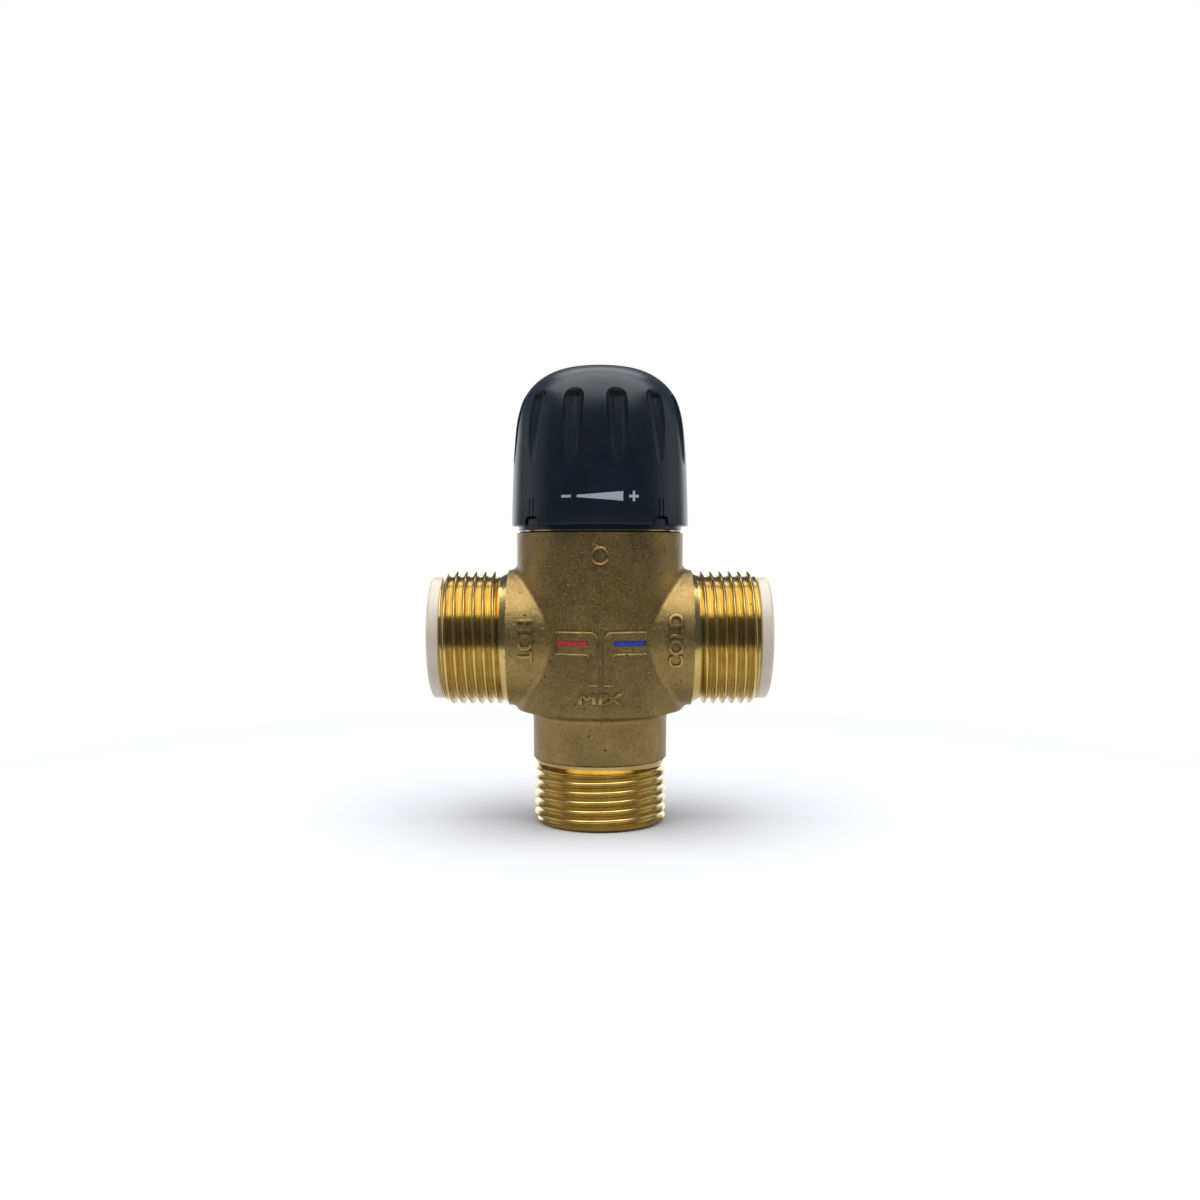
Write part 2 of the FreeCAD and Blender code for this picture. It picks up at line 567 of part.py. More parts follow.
def wax_element():
    spider_low = SPIDER_TOP - SPIDER_T
    clip_high = spider_low - SEAT_GAP
    clip_low = clip_high - ELEMENT_CLIP_T
    groove_r = ELEMENT_R - ELEMENT_CLIP_DEPTH
    collar_low = SPIDER_TOP
    outline = [(0, ELEMENT_BOTTOM), (ELEMENT_R - 1.5, ELEMENT_BOTTOM), (ELEMENT_R, ELEMENT_BOTTOM + 1.5),
               (ELEMENT_R, clip_low), (groove_r, clip_low), (groove_r, clip_high), (ELEMENT_R, clip_high),
               (ELEMENT_R, collar_low), (COLLAR_R, collar_low), (COLLAR_R, collar_low + COLLAR_T),
               (GUIDE_R + 1.6, collar_low + COLLAR_T), (GUIDE_R, collar_low + COLLAR_T + 1.6),
               (GUIDE_R, GUIDE_TOP), (PISTON_R + RUN, GUIDE_TOP), (PISTON_R + RUN, PISTON_BORE_BOTTOM),
               (0, PISTON_BORE_BOTTOM)]
    return turned(outline)


def element_clip():
    middle = SPIDER_TOP - SPIDER_T - SEAT_GAP - ELEMENT_CLIP_T / 2
    half = (ELEMENT_CLIP_T - SEAT_GAP) / 2
    inner = ELEMENT_R - ELEMENT_CLIP_DEPTH + THREAD_PLAY
    return circlip(inner, inner + ELEMENT_CLIP_W, middle - half, middle + half, CIRCLIP_GAP)


def return_spring():
    return coil(RETURN_SPRING_R, RETURN_WIRE, SPRING_LEDGE_Z, SPIDER_TOP - SPIDER_T, COILS)


# --- check valve cartridges, modelled along +Z (outwards) ------------------------------------
def check_body():
    end = INLET_END + CHECK_FLANGE_T
    groove_r = CHECK_BARREL_R - ORING_GROOVE_DEPTH
    seat_in = CHECK_SEAT_X
    seat_out = CHECK_SEAT_X + CHECK_SEAT_T
    outline = [(CHECK_BORE_R, CHECK_INNER_END), (CHECK_BARREL_R - 0.6, CHECK_INNER_END),
               (CHECK_BARREL_R, CHECK_INNER_END + 0.6), (CHECK_BARREL_R, ORING_GROOVE_X),
               (groove_r, ORING_GROOVE_X), (groove_r, ORING_GROOVE_X + ORING_GROOVE_W),
               (CHECK_BARREL_R, ORING_GROOVE_X + ORING_GROOVE_W), (CHECK_BARREL_R, INLET_END),
               (CHECK_FLANGE_R, INLET_END), (CHECK_FLANGE_R, end - 0.6), (CHECK_FLANGE_R - 0.6, end),
               (CHECK_MOUTH_R + 0.8, end), (CHECK_MOUTH_R, end - 0.8), (CHECK_MOUTH_R, seat_out + 1.2),
               (CHECK_SEAT_R, seat_out), (CHECK_SEAT_R, seat_in), (CHECK_BORE_R, seat_in)]
    return turned(outline)


def check_cage():
    rim = ring(CHECK_BARREL_R - 0.6, CHECK_BORE_R - 0.6, CAGE_END, CHECK_INNER_END)
    snap = ring(CHECK_BORE_R - THREAD_PLAY, CHECK_BORE_R - 0.6, CHECK_INNER_END, CHECK_INNER_END + 1.0)
    hub = disc(CAGE_HUB_R, CAGE_END, CAGE_END + CAGE_HUB_LENGTH)
    spoke = box(CAGE_HUB_R - 1, CHECK_BORE_R, -0.9, 0.9, CAGE_END, CAGE_END + CAGE_T)
    cage = rim.fuse([snap, hub] + around(spoke, 3, 90))
    return cage.cut(disc(POPPET_STEM_R + RUN, CAGE_END - 1, CAGE_END + CAGE_HUB_LENGTH + 1))


def poppet_face():
    return CHECK_SEAT_X - SEAT_GAP - POPPET_SEAL_T


def check_poppet():
    face = poppet_face()
    nose_r = POPPET_NOSE_R
    nose = face + POPPET_SEAL_T
    outline = [(0, POPPET_STEM_END), (POPPET_STEM_R, POPPET_STEM_END), (POPPET_STEM_R, face - POPPET_T),
               (POPPET_R, face - POPPET_T), (POPPET_R, face), (nose_r, face), (nose_r, nose + 0.6),
               (nose_r - 1.2, nose + 1.7), (0, nose + 2.1)]
    return turned(outline)


def poppet_seal():
    return ring(POPPET_R - 0.2, POPPET_NOSE_R + THREAD_PLAY, poppet_face(), poppet_face() + POPPET_SEAL_T)


def check_spring():
    return coil(CHECK_SPRING_R, CHECK_WIRE, CAGE_END + CAGE_T, poppet_face() - POPPET_T, COILS)


def check_seal():
    return oring(CHECK_BARREL_R - ORING_GROOVE_DEPTH, PORT_BORE_R, ORING_GROOVE_X + ORING_GROOVE_W / 2)


# --- hub and knob ----------------------------------------------------------------------------
def adjusting_hub():
    low = BARREL_TOP + PLAY
    disc_low = HUB_TOP - HUB_DISC_T
    inner = HUB_RING_R - HUB_WALL
    web_top = CIRCLIP_Z - PLAY
    outline = [(NECK_TUBE_R + RUN, disc_low), (inner, disc_low), (inner, low), (HUB_RING_R, low),
               (HUB_RING_R, HUB_TOP), (HUB_TOWER_R, HUB_TOP), (HUB_TOWER_R, HUB_TOWER_TOP),
               (SPLINE_R, HUB_TOWER_TOP), (SPLINE_R, web_top), (NECK_TUBE_R + RUN, web_top)]
    hub = turned(outline)
    groove = spline_tooth(SPLINE_R - SPLINE_DEPTH, SPLINE_DEPTH + PLAY, web_top, HUB_TOWER_TOP + 1, 10.5)
    blank = ring(SPLINE_R + 0.3, SPLINE_R - SPLINE_DEPTH, web_top + 2, HUB_TOWER_TOP)
    hub = hub.fuse(blank.cut(Part.makeCompound(around(groove, SPLINE_TEETH, KNOB_CLOCKING))))
    return hub.fuse(around(hub_lug(), NOTCHES, 45 + KNOB_CLOCKING))


def notch_prism(width_low, width_high, height, low, r0, r1):
    """Trapezoid prism that points along -Y."""
    points = [Vector(-width_low / 2, 0, low), Vector(width_low / 2, 0, low),
              Vector(width_high / 2, 0, low + height), Vector(-width_high / 2, 0, low + height)]
    prism = Part.Face(Part.makePolygon(points + points[:1])).extrude(Vector(0, -(r1 - r0), 0))
    prism.translate(Vector(0, -r0, 0))
    return prism


def hub_lug():
    """Driving lug that stands in a notch of the knob's rim."""
    outer = KNOB_RIM_R - 0.5
    low = KNOB_RIM_Z
    lug = notch_prism(NOTCH_BOTTOM_W - 1.2, NOTCH_TOP_W - 1.2, LUG_HEIGHT, low, HUB_RING_R - 0.8, outer + 2)
    return lug.common(disc(outer, low, low + LUG_HEIGHT))


def knob_outline(inset, crown_drop):
    """Half outline of the knob from its crown to its rim, drawn in by inset and crown_drop."""
    r = KNOB_RIM_R - inset
    top = KNOB_TOP - crown_drop
    points = [(0, top), (r - 12.05, top - 0.9), (r - 6.97, top - 3.35), (r - 3.52, top - 7.1),
              (r - 1.8, top - 11.6), (r - 0.72, top - 19.9), (r - 0.15, top - 32.2)]
    curve = Part.BSplineCurve()
    curve.interpolate(Points=[Vector(x, 0, z) for x, z in points],
                      InitialTangent=Vector(1, 0, 0), FinalTangent=Vector(0.02, 0, -1))
    return curve, points[-1]


def knob_cap():
    curve, (side_r, side_z) = knob_outline(0, 0)
    rim = KNOB_RIM_Z
    core_top = KNOB_TOP - KNOB_CROWN_WALL
    step_z = HUB_TOP + PLAY
    corner = KNOB_CORNER
    edge = [(side_r, side_z), (KNOB_RIM_R, rim + 0.4), (KNOB_RIM_R - 0.4, rim), (KNOB_SKIRT_IN_R, rim),
            (KNOB_SKIRT_IN_R, step_z), (KNOB_CORE_R, step_z), (KNOB_CORE_R - 1.6, core_top - 3 * corner),
            (KNOB_CORE_R - 1.6 - 1.5 * corner, core_top - corner), (0, core_top - 0.4), (0, KNOB_TOP)]
    straight = Part.makePolygon([Vector(x, 0, z) for x, z in edge])
    wire = Part.Wire([curve.toShape()] + straight.Edges)
    shell = Part.Face(wire).revolve(Vector(0, 0, 0), UP, 360)
    rib = box(HUB_TOWER_R + 0.6, KNOB_CORE_R + 0.4, -0.8, 0.8, HUB_TOP + 2, core_top - 2.6 * corner)
    shell = shell.fuse(around(rib, KNOB_RIBS, KNOB_CLOCKING))
    shell = shell.cut(Part.makeCompound(around(flute(), FLUTES, 15 + KNOB_CLOCKING)))
    inside = KNOB_SKIRT_IN_R - 0.2
    outside = KNOB_RIM_R + 1
    notch = notch_prism(NOTCH_BOTTOM_W, NOTCH_TOP_W, NOTCH_HEIGHT, rim, inside, outside)
    notch = notch.fuse(notch_prism(NOTCH_BOTTOM_W, NOTCH_BOTTOM_W, 1, rim - 1, inside, outside))
    slit_low = rim + NOTCH_HEIGHT - 0.2
    slit_high = rim + NOTCH_HEIGHT + SLIT_LENGTH
    slits = [box(x - SLIT_W / 2, x + SLIT_W / 2, -outside, -inside, slit_low, slit_high)
             for x in (-SLIT_SPACING / 2, SLIT_SPACING / 2)]
    return shell.cut(Part.makeCompound(around(notch.fuse(slits), NOTCHES, 45 + KNOB_CLOCKING)))


def flute():
    """Round cutter that leans into the shoulder and runs out of the side wall at its foot (towards -Y)."""
    low = Vector(0, -(KNOB_RIM_R - 0.4 + FLUTE_R_BOTTOM), FLUTE_BOTTOM)
    high = Vector(0, -(KNOB_RIM_R - 1.1), FLUTE_TOP)
    run = high - low
    below = low - run * 0.15
    cone = Part.makeCone(FLUTE_R_BOTTOM, FLUTE_R_TOP, (high - below).Length, below, run)
    return cone.fuse(Part.makeSphere(FLUTE_R_TOP, high))


# --- build -----------------------------------------------------------------------------------
SINGLE = {
    "valve_body": valve_body,
    "bonnet": bonnet,
    "bonnet_seal": bonnet_seal,
    "hub_clip": hub_clip,
    "adjusting_hub": adjusting_hub,
    "knob_cap": knob_cap,
    "spindle": spindle,
    "spindle_seal": spindle_seal,
    "spline_driver": spline_driver,
    "driver_screw": driver_screw,
    "overload_cup": overload_cup,
    "overload_clip": overload_clip,
    "overload_spring": overload_spring,
    "wax_piston": wax_piston,
    "wax_element": wax_element,
    "mixing_spool": mixing_spool,
    "spool_seal": spool_seal,
    "element_clip": element_clip,
    "return_spring": return_spring,
}
CARTRIDGE = {
    "check_body": check_body,
    "check_cage": check_cage,
    "check_poppet": check_poppet,
    "poppet_seal": poppet_seal,
    "check_spring": check_spring,
    "check_seal": check_seal,
}


def main():
    os.makedirs("parts", exist_ok=True)
    shapes = {name: make() for name, make in SINGLE.items()}
    for prefix, side in (("hot", -1), ("cold", 1)):
        for name, make in CARTRIDGE.items():
            shapes[f"{prefix}_{name}"] = to_inlet(make(), side)
    for name, shape in shapes.items():
        solids = shape.Solids
        if len(solids) != 1 or not solids[0].isValid():
            print("check", name, "solids", len(solids), "valid", shape.isValid())
        solids[0].exportStep(f"parts/{name}.step")
    print("pieces", len(shapes))


main()
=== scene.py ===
# %% [markdown]
# # A three-way mixing valve in Blender
# The valve blends hot and cold water to one safe temperature. Its body is one brass casting with three turned
# pipe threads, a black knob sets the temperature, and a white check-valve cartridge sits in each side inlet.
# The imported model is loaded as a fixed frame, and every size below comes from it or from the G 1 pipe thread.

# %% Load the frame
import json
import math
import bpy
from mathutils import Matrix, Vector

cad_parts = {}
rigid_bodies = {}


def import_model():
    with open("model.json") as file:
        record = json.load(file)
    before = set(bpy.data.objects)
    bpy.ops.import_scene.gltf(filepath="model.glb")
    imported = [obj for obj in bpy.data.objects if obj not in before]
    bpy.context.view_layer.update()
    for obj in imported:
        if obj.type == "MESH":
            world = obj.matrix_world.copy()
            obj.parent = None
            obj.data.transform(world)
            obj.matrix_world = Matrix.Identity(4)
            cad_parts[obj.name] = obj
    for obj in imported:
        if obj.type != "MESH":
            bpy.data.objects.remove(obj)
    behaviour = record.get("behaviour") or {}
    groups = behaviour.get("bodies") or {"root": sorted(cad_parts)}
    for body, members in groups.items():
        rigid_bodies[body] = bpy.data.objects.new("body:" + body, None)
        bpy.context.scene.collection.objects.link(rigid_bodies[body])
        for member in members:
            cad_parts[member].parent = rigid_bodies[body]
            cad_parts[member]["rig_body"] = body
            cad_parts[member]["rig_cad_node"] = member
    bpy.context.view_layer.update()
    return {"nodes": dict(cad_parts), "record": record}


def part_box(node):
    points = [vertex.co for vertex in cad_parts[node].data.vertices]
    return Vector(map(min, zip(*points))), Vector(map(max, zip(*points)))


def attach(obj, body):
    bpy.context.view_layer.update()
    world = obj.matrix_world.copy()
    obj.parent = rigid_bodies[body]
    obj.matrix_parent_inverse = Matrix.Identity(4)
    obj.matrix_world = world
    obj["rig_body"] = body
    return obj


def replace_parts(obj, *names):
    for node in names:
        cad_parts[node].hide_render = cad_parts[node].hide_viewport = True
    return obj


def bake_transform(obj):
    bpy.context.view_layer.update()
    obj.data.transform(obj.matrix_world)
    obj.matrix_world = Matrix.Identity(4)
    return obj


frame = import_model()
MM = 0.001

# %% [markdown]
# ## Small helpers
# Operators act on whatever is selected, so each step first deselects everything. Most pieces of a valve are
# turned on a lathe or moulded round, so they are made the same way here: an outline is extruded point by
# point from one vertex, and then spun about the axis.

# %% Selecting, editing and applying
def only(*objects):
    """Select just these objects and make the first one active."""
    bpy.ops.object.select_all(action="DESELECT")
    for obj in objects:
        obj.select_set(True)
    bpy.context.view_layer.objects.active = objects[0]


def edit_all(obj):
    """Enter edit mode with the whole mesh selected."""
    only(obj)
    bpy.ops.object.mode_set(mode="EDIT")
    bpy.ops.mesh.select_all(action="SELECT")


def leave_edit():
    bpy.ops.object.mode_set(mode="OBJECT")


def apply_modifier(obj, kind, **settings):
    """Add a modifier, set it and apply it."""
    only(obj)
    modifier = obj.modifiers.new(kind, kind)
    for name, value in settings.items():
        setattr(modifier, name, value)
    bpy.ops.object.modifier_apply(modifier=modifier.name)


def cut(obj, tool, operation="DIFFERENCE"):
    """Boolean with a tool that is thrown away afterwards."""
    apply_modifier(obj, "BOOLEAN", operation=operation, object=tool, solver="EXACT")
    bpy.data.objects.remove(tool)


def merge_and_face_out(obj):
    """Join vertices that coincide, then turn every face outwards."""
    edit_all(obj)
    bpy.ops.mesh.remove_doubles(threshold=0.001 * MM)
    bpy.ops.mesh.normals_make_consistent(inside=False)
    leave_edit()


def smooth(obj, degrees=32):
    """Shade smoothly, except across edges sharper than this angle."""
    only(obj)
    bpy.ops.object.shade_smooth_by_angle(angle=math.radians(degrees))


def move(obj, matrix):
    """Put a piece in its place in the mesh, so that its object stays at the origin."""
    obj.data.transform(matrix)
    obj.data.update()


def coat(obj, *materials):
    """Give a piece these materials in place of any that it has."""
    obj.data.materials.clear()
    for material in materials:
        obj.data.materials.append(material)


def turn(degrees, axis):
    """Rotation about an axis through the origin."""
    return Matrix.Rotation(math.radians(degrees), 4, axis)


def shift(x=0, y=0, z=0):
    """Translation in millimetres."""
    return Matrix.Translation((x * MM, y * MM, z * MM))


def join(name, first, *others):
    """Join pieces into the first one, under a new name."""
    only(first, *others)
    bpy.ops.object.join()
    first.name = name
    return first


# %% Outlines and turned pieces
def chain(name, points):
    """Edges through (radius, height) points in millimetres, extruded from one vertex."""
    bpy.ops.object.select_all(action="DESELECT")
    bpy.ops.mesh.primitive_plane_add(size=MM)
    obj = bpy.context.object
    obj.name = name
    edit_all(obj)
    bpy.ops.mesh.merge(type="CENTER")
    bpy.ops.transform.translate(value=(points[0][0] * MM, 0, points[0][1] * MM))
    for (r0, z0), (r1, z1) in zip(points, points[1:]):
        step = ((r1 - r0) * MM, 0, (z1 - z0) * MM)
        bpy.ops.mesh.extrude_region_move(TRANSFORM_OT_translate={"value": step})
    leave_edit()
    return obj


def turned(name, points, steps=160):
    """A piece spun about Z. A ring's outline ends on its first point."""
    obj = chain(name, points)
    edit_all(obj)
    bpy.ops.mesh.spin(steps=steps, angle=2 * math.pi, center=(0, 0, 0), axis=(0, 0, 1))
    leave_edit()
    merge_and_face_out(obj)
    return obj


def arc(centre_r, centre_z, radius, start, end, steps=5):
    """Points on a circle, from start to end degrees, 0 outwards and 90 up."""
    angles = [math.radians(start + (end - start) * k / steps) for k in range(steps + 1)]
    return [(centre_r + radius * math.cos(a), centre_z + radius * math.sin(a)) for a in angles]


print("helpers ready")

# %% [markdown]
# ## Main sizes
# The frame gives the knob, the hub and the body. The thread is G 1: 2.309 mm from crest to crest.

# %% Sizes from the frame
def corners_mm(node):
    """Lowest and highest corner of a node of the frame, in millimetres."""
    low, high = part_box(node)
    return [value / MM for value in low], [value / MM for value in high]


body_low, body_high = corners_mm("valve_body")
knob_low, knob_high = corners_mm("knob_cap")
_, hub_high = corners_mm("adjusting_hub")
flange_low, flange_high = corners_mm("cold_check_body")
THREAD_PITCH = 2.309
CREST_R = 16.55
ROOT_R = 15.15
BORE_R = 12.75
INLET_END = body_high[0]
INLET_AXIS_Z = (flange_low[2] + flange_high[2]) / 2
CASTING_END = 22.5            # where the turned part of a side inlet starts
OUTLET_TOP = 16.2             # where the turned part of the outlet ends
RUNOUT = 1.9                  # length over which a thread fades out towards the casting
BARREL_R = body_high[1]
STUB_R = 16.8
KNOB_R = knob_high[0]
KNOB_RIM_Z = knob_low[2]
KNOB_TOP = knob_high[2]
print("body", body_low, body_high, "inlet axis at", round(INLET_AXIS_Z, 2), "knob", KNOB_RIM_Z, KNOB_TOP)

# %% [markdown]
# ## Materials
# Every material starts from what the real one is. Colours are written as the hex values that a paint program
# shows, and one function turns them into the linear values that the shader works in.

# %% Colour and node helpers
def linear(hex_colour):
    """Linear RGBA from an sRGB hex value."""
    channels = [int(hex_colour[i:i + 2], 16) / 255 for i in (1, 3, 5)]
    values = [c / 12.92 if c <= 0.04045 else ((c + 0.055) / 1.055) ** 2.4 for c in channels]
    return (*values, 1.0)


def add(owner, kind, settings=None, out=0, stops=(), **inputs):
    """Add a node to a material or world and hand back one of its outputs.

    settings are the node's own properties, and stops the (place, hex colour) pairs of a colour ramp. Each
    other argument is an input: a value, or the output that feeds it. i6 is the input with index 6.
    """
    tree = owner.node_tree
    node = tree.nodes.new(kind)
    for name, value in (settings or {}).items():
        setattr(node, name, value)
    for extra in stops[2:]:
        node.color_ramp.elements.new(0.5)
    for element, (place, colour) in zip(node.color_ramp.elements if stops else (), stops):
        element.position = place
        element.color = linear(colour)
    for name, value in inputs.items():
        key = int(name[1:]) if name[0] == "i" and name[1:].isdigit() else name.replace("_", " ")
        if isinstance(value, bpy.types.NodeSocket):
            tree.links.new(value, node.inputs[key])
        else:
            node.inputs[key].default_value = value
    return node.outputs[out]


def new_material(name, **constants):
    """A Principled material with constant inputs set, and its object coordinates in millimetres."""
    material = bpy.data.materials.new(name)
    material.use_nodes = True
    shader = material.node_tree.nodes["Principled BSDF"]
    for socket, value in constants.items():
        shader.inputs[socket.replace("_", " ")].default_value = value
    place = add(material, "ShaderNodeTexCoord", out="Object")
    return material, add(material, "ShaderNodeMapping", Vector=place, Scale=(1 / MM, 1 / MM, 1 / MM))


def feed(material, **sockets):
    """Link outputs to the inputs of the material's shader."""
    shader = material.node_tree.nodes["Principled BSDF"]
    for name, output in sockets.items():
        material.node_tree.links.new(output, shader.inputs[name.replace("_", " ")])


NOISE, RAMP, RANGE = "ShaderNodeTexNoise", "ShaderNodeValToRGB", "ShaderNodeMapRange"
MIX, BUMP, MAPPING, MATH = "ShaderNodeMix", "ShaderNodeBump", "ShaderNodeMapping", "ShaderNodeMath"
BLEND = {"data_type": "RGBA", "blend_type": "MIX"}
MULTIPLY = {"data_type": "RGBA", "blend_type": "MULTIPLY"}
SUBTRACT = {"operation": "SUBTRACT"}
print("node helpers ready")

# %% [markdown]
# ### Cast brass
# The body is sand-cast brass (CW617N) that was shot-blasted and vibrated. That leaves a dull satin skin with
# a fine grain, soft dents of a few millimetres, small dark pits where scale was torn out, and short scratches
# from handling. The real grain is about 0.2 mm and is drawn at 0.45 mm, so that it shows. Raised letters and
# borders get a lighter and smoother version of the same skin. This is partly the polish of the tumbler and
# partly a painted highlight, so that their rounded edges show as light lines.

# %% Cast brass
CLOUD_MM = 7.0
GRAIN_MM = 0.45
PIT_MM = 0.9
SCRATCH_MM = 0.8
DENT_MM = 2.6


def cast_brass(name, tones, rough_low, rough_high):
    """Blasted casting skin in three tones, between two roughnesses."""
    material, mm = new_material(name, Metallic=1.0)
    clouds = add(material, NOISE, Vector=mm, Scale=1 / CLOUD_MM, Detail=4.0, Roughness=0.6)
    tone = add(material, RAMP, stops=tuple(zip((0.30, 0.52, 0.72), tones)), Fac=clouds)
    grain = add(material, NOISE, Vector=mm, Scale=1 / GRAIN_MM, Detail=3.0, Roughness=0.7)
    speckle = add(material, RAMP, stops=((0.34, "#c6c2bd"), (0.66, "#ffffff")), Fac=grain)
    skin = add(material, MIX, MULTIPLY, out=2, i0=1.0, i6=tone, i7=speckle)
    pit_places = add(material, NOISE, Vector=mm, Scale=1 / PIT_MM, Detail=2.0, Roughness=0.5)
    pits = add(material, RANGE, Value=pit_places, From_Min=0.69, From_Max=0.75)
    skin = add(material, MIX, BLEND, out=2, i0=pits, i6=skin, i7=linear("#33260f"))
    along = add(material, MAPPING, Vector=mm, Rotation=(0.3, 0.7, 0.2), Scale=(0.22, 1.0, 1.6))
    scratch_places = add(material, NOISE, Vector=along, Scale=1 / SCRATCH_MM, Detail=2.0, Roughness=0.5)
    scratches = add(material, RANGE, Value=scratch_places, From_Min=0.72, From_Max=0.76)
    skin = add(material, MIX, BLEND, out=2, i0=scratches, i6=skin, i7=linear(tones[2]))
    gloss = add(material, RANGE, Value=grain, From_Min=0.3, From_Max=0.7, To_Min=rough_low, To_Max=rough_high)
    dents = add(material, NOISE, Vector=mm, Scale=1 / DENT_MM, Detail=2.0, Roughness=0.5)
    no_pit = add(material, MATH, SUBTRACT, i0=1.0, i1=pits)
    no_scratch = add(material, MATH, SUBTRACT, i0=1.0, i1=scratches)
    relief = add(material, BUMP, Height=dents, Distance=0.10 * MM, Strength=1.0)
    relief = add(material, BUMP, Height=grain, Distance=0.035 * MM, Strength=1.0, Normal=relief)
    relief = add(material, BUMP, Height=no_pit, Distance=0.06 * MM, Strength=1.0, Normal=relief)
    relief = add(material, BUMP, Height=no_scratch, Distance=0.04 * MM, Strength=1.0, Normal=relief)
    feed(material, Base_Color=skin, Roughness=gloss, Normal=relief)
    return material


# %% [markdown]
# ### Turned brass
# The same alloy fresh from the lathe is brighter and yellower, with fine tool lines and a few dark nicks from
# handling. The lines are 0.15 mm apart, which is coarser than the real ones, so that they show.

# %% Turned brass
TOOL_LINE_MM = 0.15
NICK_MM = 1.1


def turned_brass():
    """Bright lathe-cut brass with dark nicks."""
    material, mm = new_material("turned_brass", Metallic=1.0)
    clouds = add(material, NOISE, Vector=mm, Scale=1 / 5.0, Detail=3.0, Roughness=0.6)
    tone = add(material, RAMP, stops=((0.3, "#b99f60"), (0.55, "#c4ab69"), (0.75, "#ccb473")), Fac=clouds)
    nick_places = add(material, NOISE, Vector=mm, Scale=1 / NICK_MM, Detail=3.0, Roughness=0.6)
    nicks = add(material, RANGE, Value=nick_places, From_Min=0.70, From_Max=0.75)
    skin = add(material, MIX, BLEND, out=2, i0=nicks, i6=tone, i7=linear("#4a3413"))
    fine = add(material, NOISE, Vector=mm, Scale=1 / TOOL_LINE_MM, Detail=2.0, Roughness=0.5)
    gloss = add(material, RANGE, Value=fine, From_Min=0.3, From_Max=0.7, To_Min=0.14, To_Max=0.26)
    ripple = add(material, NOISE, Vector=mm, Scale=1 / 1.6, Detail=2.0, Roughness=0.5)
    no_nick = add(material, MATH, SUBTRACT, i0=1.0, i1=nicks)
    relief = add(material, BUMP, Height=ripple, Distance=0.02 * MM, Strength=1.0)
    relief = add(material, BUMP, Height=no_nick, Distance=0.05 * MM, Strength=1.0, Normal=relief)
    feed(material, Base_Color=skin, Roughness=gloss, Normal=relief)
    return material


# %% [markdown]
# ### Plastics, rubber, steel and paint
# These finishes differ in colour, gloss and grain, and are otherwise built alike: soft clouds shift the
# colour a little, and a fine grain roughens the face. One function makes them all.

# %% Even finishes
def even_finish(name, shades, cloud, rough, grain, depth_mm, places=(0.3, 0.7), gloss_from_grain=False,
                **constants):
    """A finish of two shades. cloud and grain are each the size in mm, detail and roughness of a noise."""
    material, mm = new_material(name, **constants)
    clouds, grains = (add(material, NOISE, Vector=mm, Scale=1 / size, Detail=detail, Roughness=share)
                      for size, detail, share in (cloud, grain))
    colour = add(material, RAMP, stops=tuple(zip(places, shades)), Fac=clouds)
    gloss = add(material, RANGE, Value=grains if gloss_from_grain else clouds, From_Min=0.3,
                From_Max=0.7, To_Min=rough[0], To_Max=rough[1])
    relief = add(material, BUMP, Height=grains, Distance=depth_mm * MM, Strength=1.0)
    feed(material, Base_Color=colour, Roughness=gloss, Normal=relief)
    return material


def ink(name, dark, light):
    """Enamel or pad print: a thick opaque film with an uneven face."""
    film = (0.8, 4.0, 0.6)
    return even_finish(name, (dark, light), film, (0.3, 0.5), film, 0.02, places=(0.3, 0.6), IOR=1.5)


FINISHES = {
    "cast_brass": cast_brass("shot_blasted_cast_brass", ("#957c4e", "#a18854", "#ad935d"), 0.36, 0.52),
    "turned_brass": turned_brass(),
    # Moulded ABS with a fine spark-eroded grain, which spreads highlights into a soft grey sheen.
    "black_plastic": even_finish("spark_eroded_black_abs", ("#11181d", "#181f25"), (6.0, 3.0, 0.6),
                                 (0.27, 0.35), (0.16, 2.0, 0.6), 0.006, gloss_from_grain=True, IOR=1.48,
                                 Specular_IOR_Level=0.3),
    # Moulded POM with a dull, waxy shine.
    "grey_plastic": even_finish("moulded_grey_pom", ("#7b7f84", "#878b90"), (4.0, 2.0, 0.5), (0.35, 0.45),
                                (0.3, 2.0, 0.5), 0.008, IOR=1.48),
    # Natural POM, a milky white that lets a little light in.
    "white_plastic": even_finish("natural_white_pom", ("#cbbfaa", "#d5cab6"), (5.0, 2.0, 0.5), (0.28, 0.38),
                                 (0.4, 2.0, 0.5), 0.006, IOR=1.48, Subsurface_Weight=0.35,
                                 Subsurface_Radius=(1.0, 0.95, 0.85), Subsurface_Scale=0.0015),
    # Moulded nitrile rubber, nearly black and without a shine.
    "black_rubber": even_finish("nitrile_rubber", ("#121212", "#1c1c1d"), (2.0, 2.0, 0.5), (0.55, 0.7),
                                (0.2, 2.0, 0.5), 0.01, IOR=1.52),
    # Drawn stainless steel, a bright grey with faint marks from the die.
    "bright_steel": even_finish("drawn_stainless_steel", ("#a9a9aa", "#c2c1bf"), (1.5, 3.0, 0.5),
                                (0.18, 0.32), (0.12, 2.0, 0.5), 0.004, Metallic=1.0),
}
# Lighter brass for the raised marks: partly tumbler polish, partly a painted highlight.
RUBBED_AND_HIGHLIGHTED_BRASS = cast_brass("rubbed_and_highlighted_cast_brass", ("#a68b54", "#b4985f", "#c0a469"), 0.28, 0.42)
RED_ENAMEL = ink("red_enamel", "#9c2a26", "#b8322d")
BLUE_ENAMEL = ink("blue_enamel", "#20378f", "#2b49ad")
GREY_PRINT = ink("grey_pad_print", "#9aa1a4", "#a9b0b2")
print("materials", [m.name for m in FINISHES.values()])


# %% Give every node of the frame its finish
for entry in frame["record"]["subparts"]:
    coat(frame["nodes"][entry["node"]], FINISHES[entry["material_slot"]])

# %% [markdown]
# ## The three threads
# A pipe thread has 55 degree flanks and rounded crests and roots. One pitch of that outline, wound up by a
# Screw modifier, is exactly how a thread is cut. The long screw is trimmed by an envelope that has the port's
# bore, the lead-in chamfer at its end and the start of its run-out.

